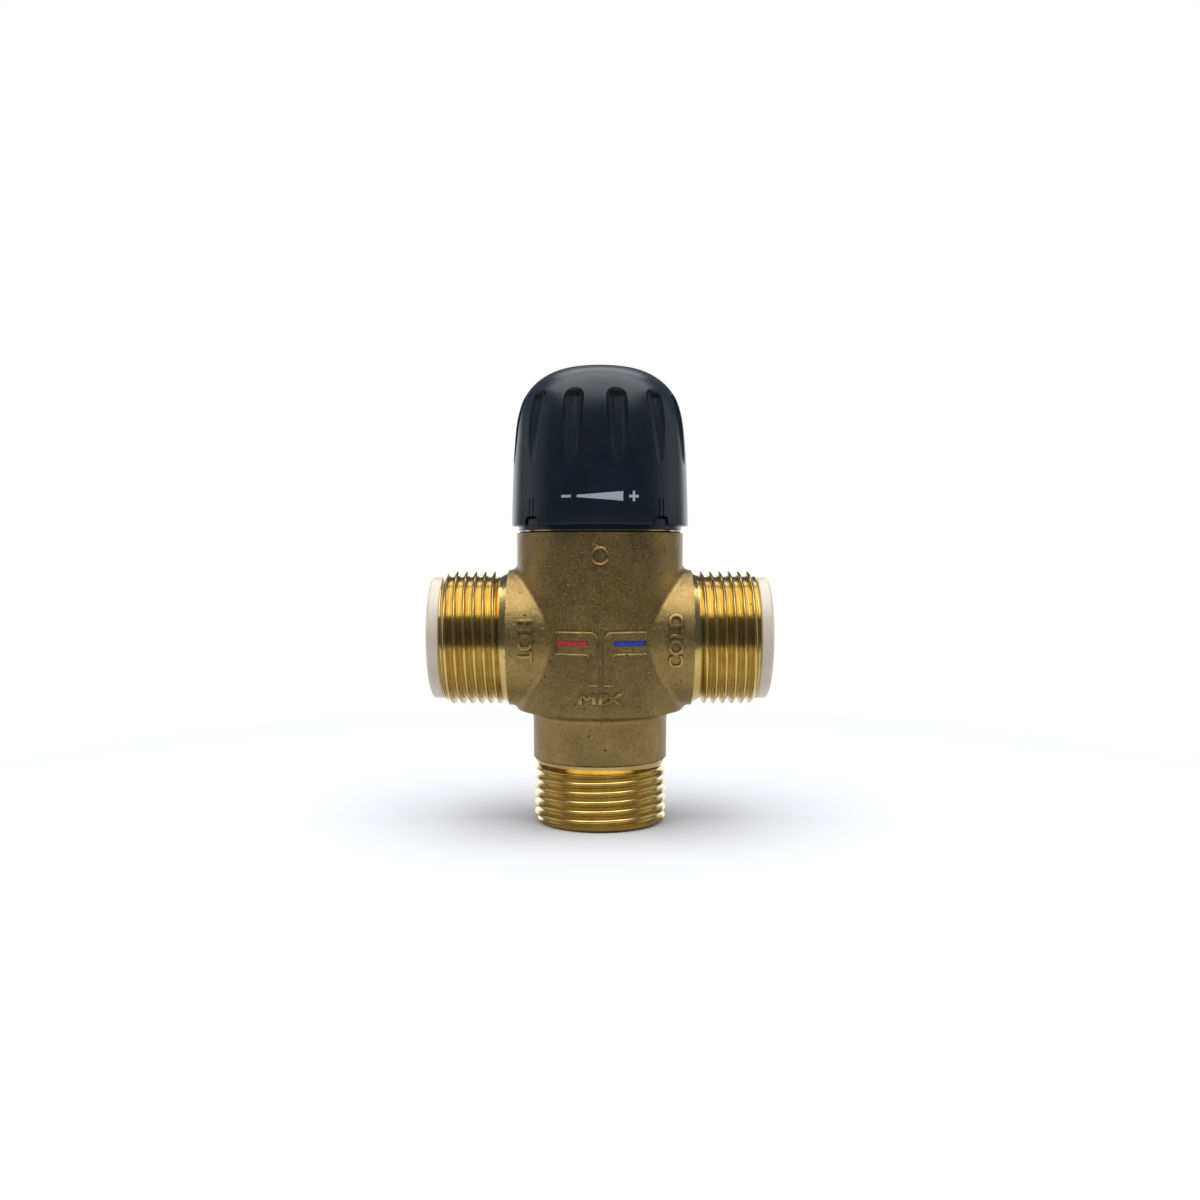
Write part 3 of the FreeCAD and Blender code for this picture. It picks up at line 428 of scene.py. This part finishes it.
# %% One port thread, with its bore along Z
OUTLINE_STEPS = 12
ROUNDNESS = 0.72              # 1 would be a sine wave, and less gives flatter crests and straighter flanks
LEAD_IN = 1.7
BORE_CHAMFER = 0.4


def thread_outline():
    """One pitch of the thread, from root to root."""
    middle = (CREST_R + ROOT_R) / 2
    depth = (CREST_R - ROOT_R) / 2
    points = []
    for k in range(OUTLINE_STEPS + 1):
        part = k / OUTLINE_STEPS
        wave = -math.cos(2 * math.pi * part)
        rounded = math.copysign(abs(wave) ** ROUNDNESS, wave)
        points.append((middle + depth * rounded, part * THREAD_PITCH))
    return points


def port_thread(name, length, steps=112):
    """The threaded sleeve from the run-out to the end face, measured along +Z from the casting."""
    rod = chain(name, thread_outline())
    turns = math.ceil(length / THREAD_PITCH) + 3
    move(rod, shift(z=-2 * THREAD_PITCH))
    apply_modifier(rod, "SCREW", axis="Z", angle=2 * math.pi, screw_offset=THREAD_PITCH * MM,
                   iterations=turns, steps=steps, render_steps=steps, use_smooth_shade=False)
    merge_and_face_out(rod)
    for height, inner, outer in ((0.2, True, False), (length + 0.5, False, True)):
        edit_all(rod)
        bpy.ops.mesh.bisect(plane_co=(0, 0, height * MM), plane_no=(0, 0, 1), use_fill=True,
                            clear_inner=inner, clear_outer=outer)
        leave_edit()
    merge_and_face_out(rod)
    wide = CREST_R + 0.2
    envelope = turned("envelope", [(BORE_R, RUNOUT), (wide, RUNOUT), (wide, length - LEAD_IN),
                                   (ROOT_R - 0.1, length), (BORE_R + BORE_CHAMFER, length),
                                   (BORE_R, length - BORE_CHAMFER), (BORE_R, RUNOUT)])
    cut(rod, envelope, "INTERSECT")
    coat(rod, FINISHES["turned_brass"])
    smooth(rod, 40)
    return rod


INLET_LENGTH = INLET_END - CASTING_END
to_axis = shift(z=INLET_AXIS_Z)
hot_thread = port_thread("hot_thread", INLET_LENGTH)
move(hot_thread, to_axis @ turn(-90, "Y") @ shift(z=CASTING_END))
cold_thread = port_thread("cold_thread", INLET_LENGTH)
move(cold_thread, to_axis @ turn(90, "Y") @ shift(z=CASTING_END))
outlet_thread = port_thread("outlet_thread", OUTLET_TOP)
move(outlet_thread, shift(z=OUTLET_TOP) @ turn(180, "X"))
print("thread faces", len(hot_thread.data.polygons), len(outlet_thread.data.polygons))

# %% [markdown]
# ## The casting
# The solid from the frame already has the stubs, fillets and arrows of the casting, with plain rings where
# the threads go. A copy of it is merged, those rings are cut off, and the real threads take their place.

# %% Copy the casting and cut the plain rings off
def merged_copy(node, name):
    """A copy of a frame node with its loose triangles joined up."""
    piece = frame["nodes"][node].copy()
    piece.data = piece.data.copy()
    piece.name = name
    piece.parent = None
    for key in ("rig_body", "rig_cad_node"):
        del piece[key]
    bpy.context.scene.collection.objects.link(piece)
    edit_all(piece)
    bpy.ops.mesh.remove_doubles(threshold=0.0005 * MM)
    bpy.ops.mesh.customdata_custom_splitnormals_clear()
    leave_edit()
    return piece


def cylinder(radius, low, high, matrix=None, vertices=64):
    """A plain cylinder used as a cutter, in millimetres along Z."""
    bpy.ops.object.select_all(action="DESELECT")
    bpy.ops.mesh.primitive_cylinder_add(radius=radius * MM, depth=(high - low) * MM, vertices=vertices,
                                        location=(0, 0, (low + high) / 2 * MM))
    obj = bpy.context.object
    bpy.ops.object.transform_apply(location=True)
    if matrix is not None:
        move(obj, matrix)
    return obj


casting = merged_copy("valve_body", "cast_body")
cut(casting, cylinder(CREST_R + 1, -1, OUTLET_TOP - RUNOUT))
for side in (-90, 90):
    cut(casting, cylinder(CREST_R + 1, CASTING_END + RUNOUT, INLET_END + 1, to_axis @ turn(side, "Y")))
print("casting faces", len(casting.data.polygons))


# %% Bright faces where the casting is machined
NECK_TOP_Z = 27.4
NECK_BORE_R = 16.0            # every bore of the neck lies inside this, and its cast skin outside
CHAMBER_R = 16.6              # the same for the barrel


def is_machined(centre):
    """True for bores, chambers and the faced top, False for the cast skin."""
    x, y, z = (value / MM for value in centre)
    from_spindle = math.hypot(x, y)
    from_inlet = math.hypot(y, z - INLET_AXIS_Z)
    if abs(x) > CASTING_END - 0.01 or z < OUTLET_TOP + 0.01 or z > body_high[2] - 0.5:
        return True
    if z < NECK_TOP_Z:
        return from_spindle < NECK_BORE_R
    return from_spindle < CHAMBER_R or from_inlet < BORE_R + 0.1


coat(casting, FINISHES["cast_brass"], FINISHES["turned_brass"])
for face in casting.data.polygons:
    face.material_index = 1 if is_machined(face.center) else 0
print("machined faces", sum(f.material_index for f in casting.data.polygons))

# %% [markdown]
# ### Raised words
# HOT, COLD and MIX stand out of the casting so that a fitter pipes it the right way round. Each word is flat
# text with a little thickness, turned into a mesh, stretched to its real size and wrapped on its cylinder.

# %% Words wrapped on the casting
WORD_RELIEF = 0.6


def word(text, width, height, turn_degrees):
    """Raised word of this size about the origin, in the XZ plane, its outer face towards -Y."""
    bpy.ops.object.select_all(action="DESELECT")
    bpy.ops.object.text_add()
    obj = bpy.context.object
    obj.data.body = text
    obj.data.extrude = 0.06
    obj.data.bevel_depth = 0.035
    obj.data.bevel_resolution = 2
    bpy.ops.object.convert(target="MESH")
    obj = bpy.context.object
    obj.name = text.lower() + "_word"
    xs, ys, zs = ([vertex.co[axis] for vertex in obj.data.vertices] for axis in range(3))
    middle = Matrix.Translation((-(min(xs) + max(xs)) / 2, -(min(ys) + max(ys)) / 2, -max(zs)))
    size = Matrix.Diagonal((width * MM / (max(xs) - min(xs)), height * MM / (max(ys) - min(ys)),
                            2 * WORD_RELIEF * MM / (max(zs) - min(zs)), 1))
    move(obj, shift(y=-WORD_RELIEF) @ turn(90, "X") @ turn(turn_degrees, "Z") @ size @ middle)
    merge_and_face_out(obj)
    return obj


def wrap_on_barrel(obj, radius, centre_x, centre_z):
    """Bend a flat piece round the spindle's axis, with its middle at this place."""
    for vertex in obj.data.vertices:
        angle = (vertex.co.x / MM + centre_x) / radius
        reach = radius * MM - vertex.co.y
        vertex.co = Vector((reach * math.sin(angle), -reach * math.cos(angle), vertex.co.z + centre_z * MM))
    obj.data.update()


def wrap_on_stub(obj, radius, centre_x, centre_z):
    """Bend a flat piece round the inlets' axis, with its middle at this place."""
    for vertex in obj.data.vertices:
        angle = (vertex.co.z / MM + centre_z - INLET_AXIS_Z) / radius
        reach = radius * MM - vertex.co.y
        vertex.co = Vector((vertex.co.x + centre_x * MM, -reach * math.cos(angle),
                            INLET_AXIS_Z * MM + reach * math.sin(angle)))
    obj.data.update()


MARK_CENTRE_X = 0.2           # the marks on the barrel stand this far off its middle
WORD_Z = 46.5
hot_word = word("HOT", 10.4, 3.7, -90)
wrap_on_stub(hot_word, STUB_R, -17.8, WORD_Z)
cold_word = word("COLD", 13.0, 3.7, 90)
wrap_on_stub(cold_word, STUB_R, 18.0, WORD_Z)
mix_word = word("MIX", 10.6, 2.6, 0)
wrap_on_barrel(mix_word, BARREL_R, MARK_CENTRE_X, 33.3)
words = (hot_word, cold_word, mix_word)
print("words", [len(piece.data.polygons) for piece in words])

# %% [markdown]
# ### Rounded borders of the arrows and the ring
# The arrows and the ring above them were cast, so their borders are rounded, and they catch the light as thin
# lines. Each border is drawn as a line, given a round section as a curve, made a mesh and laid on the barrel.

# %% Beads along the borders
RELIEF = 0.45
PAD_TOP = INLET_AXIS_Z + 2.8
PAD_LOW = PAD_TOP - 5.6       # lower edge of an arrow's bar
PAD_BOTTOM = INLET_AXIS_Z - 10.1
PAD_INNER = 0.535             # half the gap between the two arrows
PAD_STEM = 2.4
PAD_REACH = 11.0
BEAD_R = 0.23
OUTER_BEND, INNER_BEND, FOOT_ROUND, TIP_ROUND = 1.8, 0.8, 0.4, 0.3
RING_R, RING_BEAD_R, RING_DROP = 1.92, 0.3, 5.8


def lay_on_barrel(obj, radius):
    """Push a flat piece straight in along Y until it lies on the barrel."""
    for vertex in obj.data.vertices:
        reach = radius * MM - vertex.co.y
        vertex.co.y = -math.sqrt(max(reach ** 2 - vertex.co.x ** 2, 0))
    obj.data.update()


def bead(name, corners, radius=BEAD_R):
    """Closed round bead through (x, z) points in millimetres, half sunk in the raised mark under it."""
    line = chain(name, corners + corners[:1])
    edit_all(line)
    bpy.ops.mesh.remove_doubles(threshold=0.001 * MM)
    bpy.ops.mesh.subdivide(number_cuts=4)
    leave_edit()
    only(line)
    bpy.ops.object.convert(target="CURVE")
    obj = bpy.context.object
    obj.data.bevel_depth = radius * MM
    obj.data.bevel_resolution = 2
    bpy.ops.object.convert(target="MESH")
    merge_and_face_out(obj)
    lay_on_barrel(obj, BARREL_R + RELIEF - 0.05)
    return obj


def arrow_border(side):
    """Corners of one arrow's border, from the bend between its bar and its stem."""
    inner, outer, stem = PAD_INNER + BEAD_R, PAD_REACH - BEAD_R, PAD_INNER + PAD_STEM - BEAD_R
    top, low, bottom = PAD_TOP - BEAD_R, PAD_LOW + BEAD_R, PAD_BOTTOM + BEAD_R
    points = arc(inner + OUTER_BEND, top - OUTER_BEND, OUTER_BEND, 90, 180, 8)
    points += arc(inner + FOOT_ROUND, bottom + FOOT_ROUND, FOOT_ROUND, 180, 270, 3)
    points += arc(stem - FOOT_ROUND, bottom + FOOT_ROUND, FOOT_ROUND, 270, 360, 3)
    points += arc(stem + INNER_BEND, low - INNER_BEND, INNER_BEND, 180, 90, 4)
    points += arc(outer - TIP_ROUND, low + TIP_ROUND, TIP_ROUND, 270, 360, 3)
    points += arc(outer - TIP_ROUND, top - TIP_ROUND, TIP_ROUND, 0, 90, 3)
    return [(MARK_CENTRE_X + side * x, z) for x, z in points]


ring = arc(0, body_high[2] - RING_DROP, RING_R, 0, 360, 40)[:-1]
borders = (bead("hot_border", arrow_border(-1)), bead("cold_border", arrow_border(1)),
           bead("ring_border", ring, RING_BEAD_R))
# The words and borders get the lighter brass, which is partly tumbler polish and partly a painted highlight.
for piece in words + borders:
    coat(piece, RUBBED_AND_HIGHLIGHTED_BRASS)
    smooth(piece, 40)
print("borders", [len(piece.data.polygons) for piece in borders])

# %% Join the body and hang it on the frame
cast_body = join("cast_body", casting, hot_thread, cold_thread, outlet_thread, *words, *borders)
smooth(cast_body, 32)
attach(cast_body, "root")
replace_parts(cast_body, "valve_body")
print("body has", len(cast_body.data.polygons), "faces")

# %% [markdown]
# ### Paint in the arrows
# The grooves in the two arrows are filled with enamel, red towards the hot inlet and blue towards the cold
# one. Each fill is a grid whose inner end is pulled into a half round, and it is laid on the barrel.

# %% Enamel fills
FILL_WIDTH = 1.2
FILL_START, FILL_END = 2.95, 10.95


def enamel_fill(name, side, material):
    """Enamel in the groove of one arrow, side -1 for the hot one and 1 for the cold one."""
    length = FILL_END - FILL_START
    half = FILL_WIDTH / 2
    bpy.ops.object.select_all(action="DESELECT")
    bpy.ops.mesh.primitive_grid_add(x_subdivisions=24, y_subdivisions=6, size=1)
    obj = bpy.context.object
    obj.name = name
    for vertex in obj.data.vertices:
        across = vertex.co.y * FILL_WIDTH
        outwards = (0.5 + side * vertex.co.x) * length
        rounding = half - math.sqrt(max(half * half - across * across, 0))
        outwards = rounding + outwards * (length - rounding) / length
        vertex.co = Vector((MARK_CENTRE_X + side * (FILL_START + outwards), 0, across)) * MM
    apply_modifier(obj, "SOLIDIFY", thickness=0.22 * MM, offset=0.0)
    merge_and_face_out(obj)
    move(obj, shift(z=INLET_AXIS_Z))
    lay_on_barrel(obj, BARREL_R + 0.14)
    coat(obj, material)
    smooth(obj, 40)
    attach(obj, "root")
    return obj


enamel_fill("hot_enamel", -1, RED_ENAMEL)
enamel_fill("cold_enamel", 1, BLUE_ENAMEL)
print("arrows painted")

# %% [markdown]
# ## The knob
# The cap is moulded in one shot: a domed cup with twelve flutes for wet fingers, four notches in its rim
# where the hub's lugs drive it, and two slits above each notch. Its outline is spun, and the flutes are cut
# by tapered round bars with ball ends, one bar copied round the axis.

# %% Knob shell
FLUTES = 12
CLOCKING = -3.4               # degrees, the knob stands turned by this much
HUB_RING_TOP = 81.2           # upper face of the hub's ring, which the cap goes over
CAP_PLAY = 0.3


def knob_side(radius, top):
    """Guide points from the crown to the rim: how far each lies inside the radius and under the top."""
    inset_and_drop = ((12.05, 0.9), (6.97, 3.35), (3.52, 7.1), (1.8, 11.6), (0.72, 19.9), (0.15, 32.2))
    return [(0, top)] + [(radius - inset, top - drop) for inset, drop in inset_and_drop]


def smooth_curve(guides, steps=9):
    """Catmull-Rom curve through guide points, level at the first one."""
    first = (-guides[1][0], guides[1][1])
    last = (2 * guides[-1][0] - guides[-2][0], 2 * guides[-1][1] - guides[-2][1])
    path = [first] + guides + [last]
    points = []
    for k in range(1, len(path) - 2):
        p0, p1, p2, p3 = (Vector(p) for p in path[k - 1:k + 3])
        d01, d12, d23 = ((b - a).length ** 0.5 for a, b in ((p0, p1), (p1, p2), (p2, p3)))
        m1 = d12 * ((p1 - p0) / d01 - (p2 - p0) / (d01 + d12) + (p2 - p1) / d12)
        m2 = d12 * ((p2 - p1) / d12 - (p3 - p1) / (d12 + d23) + (p3 - p2) / d23)
        for step in range(steps):
            t = step / steps
            point = ((2 * t**3 - 3 * t**2 + 1) * p1 + (t**3 - 2 * t**2 + t) * m1
                     + (3 * t**2 - 2 * t**3) * p2 + (t**3 - t**2) * m2)
            points.append((max(point.x, 0), point.y))
    points.append(guides[-1])
    return points


skirt_in = hub_high[1] + CAP_PLAY
ceiling = HUB_RING_TOP + CAP_PLAY
knob_skin = smooth_curve(knob_side(KNOB_R, KNOB_TOP))
rim = [(KNOB_R, KNOB_RIM_Z + 0.35), (KNOB_R - 0.1, KNOB_RIM_Z + 0.1), (KNOB_R - 0.35, KNOB_RIM_Z)]
hollow = [(skirt_in, KNOB_RIM_Z), (skirt_in, ceiling), (17.0, ceiling), (15.4, KNOB_TOP - 16.1),
          (8.65, KNOB_TOP - 7.1), (0, KNOB_TOP - 3.0)]
knob = turned("knob", knob_skin + rim + hollow, steps=240)
print("knob shell", len(knob.data.polygons), "faces")


# %% Cut the flutes
FLUTE_LOW_Z, FLUTE_HIGH_Z = 88.5, 103.6


def flute_cutter():
    """Tapered bar with a ball at its top end, leaning into the shoulder of the knob on the -Y side."""
    low_r, high_r = 2.2, 3.0
    low = Vector((0, -(KNOB_R - 0.4 + low_r), FLUTE_LOW_Z)) * MM
    high = Vector((0, -(KNOB_R - 1.1), FLUTE_HIGH_Z)) * MM
    below = low - (high - low) * 0.15
    length = (high - below).length
    bpy.ops.object.select_all(action="DESELECT")
    bpy.ops.mesh.primitive_cone_add(vertices=48, radius1=low_r * MM, radius2=high_r * MM, depth=length)
    bar = bpy.context.object
    lean = (high - below).to_track_quat("Z", "Y").to_matrix().to_4x4()
    move(bar, Matrix.Translation((high + below) / 2) @ lean)
    bpy.ops.object.select_all(action="DESELECT")
    bpy.ops.mesh.primitive_uv_sphere_add(segments=48, ring_count=24, radius=high_r * MM)
    ball = bpy.context.object
    move(ball, Matrix.Translation(high) @ lean)
    cut(bar, ball, "UNION")
    return bar


def copies_round(obj, count, first_degrees):
    """Copies of a cutter round Z, joined into one."""
    copies = []
    for k in range(count):
        other = obj.copy()
        other.data = obj.data.copy()
        bpy.context.scene.collection.objects.link(other)
        move(other, turn(first_degrees + 360 / count * k, "Z"))
        copies.append(other)
    bpy.data.objects.remove(obj)
    return join("cutters", *copies)


cut(knob, copies_round(flute_cutter(), FLUTES, 180 / FLUTES + CLOCKING))
print("fluted knob", len(knob.data.polygons), "faces")


# %% Notches and slits in the rim
NOTCHES = 4
NOTCH_HALF, NOTCH_TOP_HALF, NOTCH_HEIGHT = 2.75, 2.1, 2.0
SLIT_OFFSET, SLIT_HALF, SLIT_TOP = 0.675, 0.175, 6.2


def block(x0, x1, y0, y1, z0, z1, top_x=None):
    """A box in millimetres; top_x sets the half width of its upper face."""
    bpy.ops.object.select_all(action="DESELECT")
    bpy.ops.mesh.primitive_cube_add(size=1)
    obj = bpy.context.object
    for vertex in obj.data.vertices:
        x = x1 if vertex.co.x > 0 else x0
        if top_x is not None and vertex.co.z > 0:
            x = math.copysign(top_x, x)
        vertex.co = Vector((x, y1 if vertex.co.y > 0 else y0, z1 if vertex.co.z > 0 else z0)) * MM
    return obj


inside, outside = -(skirt_in - 0.2), -(KNOB_R + 1)
first_notch = 180 / NOTCHES + CLOCKING
notch = block(-NOTCH_HALF, NOTCH_HALF, outside, inside, KNOB_RIM_Z - 0.5, KNOB_RIM_Z + NOTCH_HEIGHT,
              top_x=NOTCH_TOP_HALF)
cut(knob, copies_round(notch, NOTCHES, first_notch))
for x in (-SLIT_OFFSET, SLIT_OFFSET):
    slit = block(x - SLIT_HALF, x + SLIT_HALF, outside, inside, KNOB_RIM_Z + NOTCH_HEIGHT - 0.2,
                 KNOB_RIM_Z + SLIT_TOP)
    cut(knob, copies_round(slit, NOTCHES, first_notch))
coat(knob, FINISHES["black_plastic"])
smooth(knob, 30)
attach(knob, "cap")
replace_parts(knob, "knob_cap")
print("finished knob", len(knob.data.polygons), "faces")

# %% [markdown]
# ### A printed scale
# Knobs like this carry a pad print on the front. Here it is a plain scale that says which way is cooler and
# which is hotter: a minus, a wedge that widens, and a plus.

# %% Pad print on the knob
def print_patch(name, corners_xz):
    """A thin patch of ink through (x, z) corners about the origin."""
    bpy.ops.object.select_all(action="DESELECT")
    bpy.ops.mesh.primitive_circle_add(vertices=len(corners_xz), radius=1, fill_type="NGON")
    obj = bpy.context.object
    obj.name = name
    for vertex, (x, z) in zip(obj.data.vertices, corners_xz):
        vertex.co = Vector((x * MM, 0, z * MM))
    edit_all(obj)
    bpy.ops.mesh.quads_convert_to_tris()
    bpy.ops.mesh.subdivide(number_cuts=6)
    leave_edit()
    return obj


def bar_corners(cx, cz, width, height):
    """Corners of an upright rectangle about a centre."""
    return [(cx - width / 2, cz - height / 2), (cx + width / 2, cz - height / 2),
            (cx + width / 2, cz + height / 2), (cx - width / 2, cz + height / 2)]


def knob_radius_at(z):
    """Radius of the knob's side at a height."""
    side = sorted(knob_skin + rim[:1], key=lambda p: p[1])
    for (r0, z0), (r1, z1) in zip(side, side[1:]):
        if z0 <= z <= z1:
            return r0 + (r1 - r0) * (z - z0) / (z1 - z0)
    return KNOB_R


PRINT_Z = 80.3
SIGN_X, SIGN_LENGTH, SIGN_LINE = 8.0, 2.4, 0.6
WEDGE_HALF, WEDGE_THIN, WEDGE_THICK = 5.4, 0.25, 1.1
wedge = [(-WEDGE_HALF, PRINT_Z - WEDGE_THIN), (WEDGE_HALF, PRINT_Z - WEDGE_THICK),
         (WEDGE_HALF, PRINT_Z + WEDGE_THICK), (-WEDGE_HALF, PRINT_Z + WEDGE_THIN)]
patches = [print_patch("minus", bar_corners(-SIGN_X, PRINT_Z, SIGN_LENGTH, SIGN_LINE)),
           print_patch("wedge", wedge),
           print_patch("plus_bar", bar_corners(SIGN_X, PRINT_Z, SIGN_LENGTH, SIGN_LINE)),
           print_patch("plus_stem", bar_corners(SIGN_X, PRINT_Z, SIGN_LINE, SIGN_LENGTH))]
scale_print = join("scale_print", *patches)
for vertex in scale_print.data.vertices:
    z = vertex.co.z / MM
    reach = knob_radius_at(z) + 0.02
    angle = vertex.co.x / MM / reach
    vertex.co = Vector((reach * math.sin(angle), -reach * math.cos(angle), z)) * MM
apply_modifier(scale_print, "SOLIDIFY", thickness=0.03 * MM, offset=-1.0)
merge_and_face_out(scale_print)
coat(scale_print, GREY_PRINT)
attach(scale_print, "cap")
print("scale printed with", len(scale_print.data.polygons), "faces")

# %% [markdown]
# ## The check-valve cartridges
# Each white cartridge is moulded POM: a flange that rests on the inlet's end, a barrel with an O-ring, and a
# seat for its poppet. The outline is spun again, with a rounded rim on the flange.

# %% White cartridges
INNER_END = 24.6
TUBE_R = 10.6                 # inside of the tube that the poppet slides in
GROOVE_R, GROOVE_LOW, GROOVE_HIGH = 11.25, 30.0, 32.2
SEAT_R, SEAT_LOW, SEAT_HIGH, SEAT_SLOPE_TOP = 8.2, 35.2, 36.4, 37.6
MOUTH_R, MOUTH_ROUND, FLANGE_ROUND = 10.2, 0.8, 1.0


def cartridge(name, side):
    """Cartridge body, outwards along +Z, then laid on its inlet's axis."""
    end = flange_high[0]
    flange_r = (flange_high[2] - flange_low[2]) / 2
    barrel = BORE_R - 0.05
    points = [(TUBE_R, INNER_END), (barrel - 0.6, INNER_END), (barrel, INNER_END + 0.6), (barrel, GROOVE_LOW),
              (GROOVE_R, GROOVE_LOW), (GROOVE_R, GROOVE_HIGH), (barrel, GROOVE_HIGH), (barrel, INLET_END),
              (flange_r - 0.15, INLET_END), (flange_r, INLET_END + 0.15)]
    points += arc(flange_r - FLANGE_ROUND, end - FLANGE_ROUND, FLANGE_ROUND, 0, 90, 6)
    points += arc(MOUTH_R + MOUTH_ROUND, end - MOUTH_ROUND, MOUTH_ROUND, 90, 180, 5)
    points += [(MOUTH_R, SEAT_SLOPE_TOP), (SEAT_R, SEAT_HIGH), (SEAT_R, SEAT_LOW), (TUBE_R, SEAT_LOW),
               (TUBE_R, INNER_END)]
    piece = turned(name, points, steps=144)
    move(piece, to_axis @ turn(90 * side, "Y"))
    coat(piece, FINISHES["white_plastic"])
    smooth(piece, 35)
    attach(piece, "root")
    return piece


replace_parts(cartridge("hot_cartridge", -1), "hot_check_body")
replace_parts(cartridge("cold_cartridge", 1), "cold_check_body")
print("cartridges turned")

# %% [markdown]
# ## Springs
# A coil spring is held between a seat that stays and a piece that slides, and its turns move closer together
# when the piece comes nearer. Each spring of the frame is replaced by a merged and smoothed copy.

# %% Springs copied in place
def held_spring(node, seat, slider, axis, slides_down=False):
    """A smoothed copy of a spring in place of the frame's one. Its ends along the axis are found, the lower one
    first unless slides_down, and not used further.
    """
    spring = merged_copy(node, node.replace("spring", "coil"))
    low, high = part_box(node)
    ends = [[(a + b) / 2 for a, b in zip(low, high)] for _ in range(2)]
    ends[0][axis], ends[1][axis] = low[axis], high[axis]
    if slides_down:
        ends.reverse()
    smooth(spring, 60)
    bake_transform(spring)
    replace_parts(spring, node)
    print(spring.name, "is held by", seat, "and", slider)


X_AXIS, Z_AXIS = 0, 2
held_spring("hot_check_spring", "root", "hot_poppet", X_AXIS, slides_down=True)
held_spring("cold_check_spring", "root", "cold_poppet", X_AXIS)
held_spring("return_spring", "root", "shuttle", Z_AXIS)
held_spring("overload_spring", "spindle", "overload", Z_AXIS, slides_down=True)

# %% [markdown]
# ## Studio
# A white table and backdrop, one large soft box overhead, a weaker one on each side, and a dim room in front.
# Polished metal shows the room more than its own colour: the soft box gives the bright band on the side
# threads, and the dim room in front gives the dark band below it. The world is white for the camera alone, so
# that the backdrop stays white while little light comes from it.

# %% Table
bpy.ops.object.select_all(action="DESELECT")
bpy.ops.mesh.primitive_circle_add(vertices=96, radius=0.21, fill_type="NGON")
table = bpy.context.object
table.name = "table"
coat(table, new_material("white_table", Roughness=0.9, Base_Color=linear("#d6d6d6"))[0])
print("table laid")


# %% Soft boxes
def soft_box(name, place, width, height, watts):
    """A rectangular lamp of this size in metres, aimed at the middle of the valve."""
    light = bpy.data.lights.new(name, "AREA")
    light.shape = "RECTANGLE"
    light.size = width
    light.size_y = height
    light.energy = watts
    obj = bpy.data.objects.new(name, light)
    obj.location = place
    obj.rotation_euler = (VALVE_MIDDLE - Vector(place)).to_track_quat("-Z", "Y").to_euler()
    bpy.context.scene.collection.objects.link(obj)


VALVE_MIDDLE = Vector((0, 0, 0.055))
soft_box("overhead_box", (0, -0.10, 0.60), 1.0, 0.74, 8.0)
soft_box("rear_top_box", (0, 0.40, 0.60), 0.5, 0.14, 0.7)
soft_box("left_box", (-0.70, 0.12, 0.22), 0.5, 0.6, 0.6)
soft_box("right_box", (0.70, 0.12, 0.22), 0.5, 0.6, 0.6)
soft_box("back_box", (0, 0.80, 0.10), 1.5, 0.36, 3.0)

# %% Backdrop
ROOM_LIGHT = 0.12
ROOM_TINT = (0.82, 1.0, 1.65)  # daylight from the windows, bluer than the lamps
world = bpy.data.worlds.new("white_backdrop")
world.use_nodes = True
bpy.context.scene.world = world
seen = add(world, "ShaderNodeLightPath", out="Is Camera Ray")
room = (*(channel * ROOM_LIGHT for channel in ROOM_TINT), 1)
backdrop = add(world, MIX, BLEND, out=2, i0=seen, i6=room, i7=(1, 1, 1, 1))
world.node_tree.links.new(backdrop, world.node_tree.nodes["Background"].inputs["Color"])
bpy.context.scene.view_settings.view_transform = "Standard"
print("room at", ROOM_LIGHT)

# %% Camera
camera = bpy.data.objects.new("camera", bpy.data.cameras.new("camera"))
bpy.context.scene.collection.objects.link(camera)
camera.location = (0, -0.293, 0.0676)
camera.rotation_euler = (math.radians(90 - 6.61), 0, 0)
camera.data.sensor_width = 36
camera.data.lens = 35.18
camera.data.shift_y = 0.073
camera.data.clip_start = 0.01
bpy.context.scene.camera = camera
print("camera at", tuple(camera.location))
